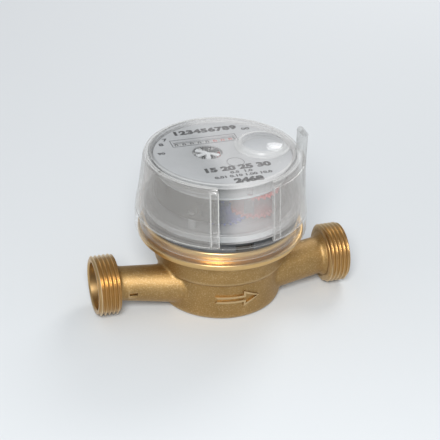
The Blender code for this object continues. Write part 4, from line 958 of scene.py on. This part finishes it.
shell_profile = rounded([
    (rim_bore_r + 0.25 * MM, shell_top, 0.2 * MM), (33.4 * MM, shell_top - 0.1 * MM, 0.3 * MM),
    (shoulder_r, shoulder_z, 0.8 * MM), (waist_r, waist_z, 4.0 * MM), (seam_r, foot_z, 1.5 * MM),
    (seam_r, shell_z, edge_round), (skirt_bore_r, shell_z, edge_round),
    (skirt_bore_r, flange_top, 1.0 * MM), (waist_r - waist_wall, waist_z, 4.0 * MM),
    (shoulder_r - waist_wall, shoulder_z - waist_wall, 0.5 * MM),
    (rim_bore_r, shoulder_z - 0.6 * MM, 0.3 * MM), (rim_bore_r, shell_top, 0.2 * MM)], 5)
shell = solid("clear_shell", turned(shell_profile, 160))
panel_profile = rounded([
    (34.6 * MM, panel_top, 0), (35.6 * MM, panel_top - 0.1 * MM, 0.5 * MM),
    (36.8 * MM, panel_foot, 0.5 * MM), (36.0 * MM, panel_foot, 0),
    (waist_r - waist_wall / 2, waist_z, 0), (33.4 * MM, panel_top - 0.5 * MM, 0)])
panel = solid("panel", turned(panel_profile, 160))
panel_zone = block((shell_half_window, -2 * collar_r, 0), (2 * collar_r, -2.0 * MM, 2 * collar_r))
fused(panel, solid("panel_zone", panel_zone), "INTERSECT")
fused(shell, panel, "UNION")
rib_z = shell_z + 0.5 * MM
rib_front_r = seam_r + 0.5 * MM
for side in (-1, 1):
    near, far = sorted((side * shell_half_window, side * (shell_half_window + rib_width)))
    rib = solid("rib", block((near, -2 * collar_r, rib_z + 0.1 * MM), (far, -capsule_r / 2, rib_top)))
    groove = block((near + rib_wall, -3 * collar_r, rib_z + 1.1 * MM),
                   (far - rib_wall, 0, rib_top + MM))
    fused(rib, solid("groove", groove), "DIFFERENCE")
    zone = [(33.0 * MM, rib_top + 0.1 * MM), (34.9 * MM, rib_top), (36.75 * MM, waist_z),
            (rib_front_r, foot_z), (rib_front_r, rib_z), (36.6 * MM, rib_z), (35.4 * MM, waist_z)]
    fused(rib, solid("rib_zone", turned(zone, 160)), "INTERSECT")
    fused(shell, rib, "UNION")
window_block = block((-shell_half_window, -2 * collar_r, shell_z - MM),
                     (shell_half_window, -capsule_r / 2, capsule_top + MM))
fused(shell, solid("front_window", window_block), "DIFFERENCE")
rim_gap_half = 0.8 * MM
rim_gap_turns = (-160, 90)
for turn in rim_gap_turns:
    gap = block((capsule_r - 1.6 * MM, -rim_gap_half, shell_top - 0.7 * MM),
                (shoulder_r + 0.8 * MM, rim_gap_half, shell_top + MM), math.radians(turn))
    fused(shell, solid("rim_gap", gap), "DIFFERENCE")
# Thin pale strips along the foot and top of the shell and down both edges of each rib: painted highlights,
# bright lines of light laid on as strips.
bead = 0.4 * MM
bead_set_in = 0.1 * MM
beads = []
for inner, outer, low, high in ((seam_r - 0.3 * MM, seam_r + 0.03 * MM, shell_z, shell_z + 0.3 * MM),
                                (33.2 * MM, 33.5 * MM, shell_top - 0.35 * MM, shell_top - 0.1 * MM),
                                (31.9 * MM, 32.2 * MM, shell_top - 0.25 * MM, shell_top + 0.03 * MM)):
    hoop = solid("hoop", turned([(inner, high), (outer, high), (outer, low), (inner, low)], 160))
    gap = block((-shell_half_window - rib_width, -2 * collar_r, 0),
                (shell_half_window, 0, capsule_top + MM))
    beads.append(fused(hoop, solid("hoop_gap", gap), "DIFFERENCE"))
for side in (-1, 1):
    for near in (shell_half_window + bead_set_in, shell_half_window + rib_width - bead - bead_set_in):
        low_x, high_x = sorted((side * near, side * (near + bead)))
        ridge = solid("ridge", block((low_x, -2 * collar_r, rib_z + 0.2 * MM),
                                     (high_x, -capsule_r / 2, rib_top - 0.1 * MM)))
        skin = [(34.94 * MM, rib_top), (36.79 * MM, waist_z), (rib_front_r + 0.04 * MM, foot_z),
                (rib_front_r + 0.04 * MM, rib_z), (rib_front_r - bead, rib_z),
                (rib_front_r - bead, foot_z), (36.4 * MM, waist_z), (34.5 * MM, rib_top)]
        beads.append(fused(ridge, solid("ridge_skin", turned(skin, 160)), "INTERSECT"))
shapes = []
for piece in beads:
    shape = bmesh.new()
    shape.from_mesh(piece.data)
    shapes.append(shape)
    bpy.data.objects.remove(piece)
shell_highlight_strips = gathered("shell_highlight_strips", shapes)
dress(shell_highlight_strips, frosted_edge("clear_bead_highlight", 0.2, (0.86, 0.86, 0.84)))
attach(shell_highlight_strips, "register")
ear_r = 1.6 * MM
ear_half = 3.0 * MM
ear_eye_r = 0.9 * MM
ear_z = shell_high.z - ear_r
ear = block((skirt_r - 2 * ear_r, -ear_half, flange_top + 0.3 * MM), (skirt_r, ear_half, ear_z))
bmesh.ops.bevel(ear, geom=ear.edges[:], offset=0.4 * MM, segments=2, profile=0.5, affect="EDGES",
                material=-1)
ear = solid("lid_ear", ear)
knuckle = turned([(0, -ear_half), (ear_r, -ear_half), (ear_r, ear_half), (0, ear_half)], 40)
drill = 3 * ear_half
eye = turned([(0, -drill), (ear_eye_r, -drill), (ear_eye_r, drill), (0, drill)], 32)
for shape in (knuckle, eye):
    bmesh.ops.rotate(shape, verts=shape.verts, cent=(0, 0, 0), matrix=Matrix.Rotation(math.pi / 2, 3, "X"))
    bmesh.ops.translate(shape, verts=shape.verts, vec=(skirt_r - ear_r, 0, ear_z))
fused(ear, solid("knuckle", knuckle), "UNION")
fused(shell, ear, "UNION")
fused(shell, solid("ear_eye", eye), "DIFFERENCE")
dress(shell, clear_plastic("clear_shell", 0.1, (0.56, 0.515, 0.465), 0.6), 50)


def shell_edge(face):
    """Rounded edges, the ridges of both ribs and the rim's flat top, which get the painted edge highlight.
    """
    side = abs(face.center.x) - shell_half_window
    on_rib = face.center.y < -25 * MM and -0.1 * MM < side < rib_width + 0.1 * MM
    ridge = on_rib and abs(face.normal.x) > 0.9
    rim = face.normal.z > 0.9 and face.center.z > shell_top - 0.5 * MM
    rim = rim and face.center.x < skirt_bore_r - 2 * MM
    return narrow(face) or ridge or rim


edged(shell, shell_edge)
shell.data.materials.append(frosted_edge("clear_ear", 0.3, (0.52, 0.53, 0.52)))
for face in shell.data.polygons:
    beside = abs(face.center.y) < ear_half + 0.1 * MM
    if beside and face.center.x > skirt_r - 3.3 * MM and face.center.z > flange_top:
        face.material_index = 2
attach(shell, "register")
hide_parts("register_shroud")


# Photographer's table and lights: a plain pale table under a large soft sky,
# with one broad lamp over the left shoulder. None of it belongs to the meter.
table_colour = (0.655, 0.68, 0.695, 1)
table_pale = (0.67, 0.695, 0.71, 1)
# Painted light: paler colour for the far part of the table.
painted_far_light = (0.79, 0.81, 0.825, 1)
table_half = 3.0
sky_colour = (0.93, 0.96, 1.0, 1)
sky_strength = 0.43
lamps = (("key_lamp", (-0.24, -0.60, 0.56), 0.3, 6.6), ("rim_lamp", (0.5, 0.5, 0.6), 0.4, 2.4))
lit_spot = Vector((0, 0, 0.03))
table = bmesh.new()
bmesh.ops.create_grid(table, x_segments=1, y_segments=1, size=table_half)
floor = solid("table", table)
table_look = Surface("pale_table")
_, farther, _ = table_look.axes()
shade = table_look.blend(table_look.noise(3, 2), table_colour, table_pale)
# Painted light: the table turns paler farther back, where it forms the top of the backdrop.
shade = table_look.blend(table_look.node("Clamp", {}, [farther * 2.6]), shade, painted_far_light)
dress(floor, table_look.done(table_look.shader(Base_Color=shade, Roughness=0.9)))
world = bpy.data.worlds.new("soft_sky")
bpy.context.scene.world = world
world.use_nodes = True
world.node_tree.nodes["Background"].inputs["Color"].default_value = sky_colour
world.node_tree.nodes["Background"].inputs["Strength"].default_value = sky_strength
for name, place, size, power in lamps:
    lamp = bpy.data.lights.new(name, "AREA")
    lamp.shape = "DISK"
    lamp.size = size
    lamp.energy = power
    stand = bpy.data.objects.new(name, lamp)
    stand.location = place
    stand.rotation_mode = "QUATERNION"
    stand.rotation_quaternion = (Vector(place) - lit_spot).to_track_quat("Z", "Y")
    bpy.context.scene.collection.objects.link(stand)
bpy.context.scene.view_settings.view_transform = "Standard"


# Camera: a long lens that looks down on the dial from the front left,
# at the angle and distance of the photograph and with its slight tilt.
azimuth = math.radians(-18.33)
elevation = math.radians(30.54)
roll = math.radians(1.79)
distance = 569.27 * MM
sensor_width = 36.0
lens_length = 105.85
aim = Vector((-0.23 * MM, 0, 34.5 * MM))
back = Vector((math.sin(azimuth) * math.cos(elevation), -math.cos(azimuth) * math.cos(elevation),
               math.sin(elevation)))
level = Vector((0, 0, 1)).cross(back).normalized()
upright = back.cross(level)
right = level * math.cos(roll) + upright * math.sin(roll)
top = upright * math.cos(roll) - level * math.sin(roll)
lens = bpy.data.cameras.new("camera")
lens.sensor_width = sensor_width
lens.lens = lens_length
camera = bpy.data.objects.new("camera", lens)
bpy.context.scene.collection.objects.link(camera)
camera.matrix_world = Matrix((right, top, back)).transposed().to_4x4()
camera.location = aim + back * distance
bpy.context.scene.camera = camera
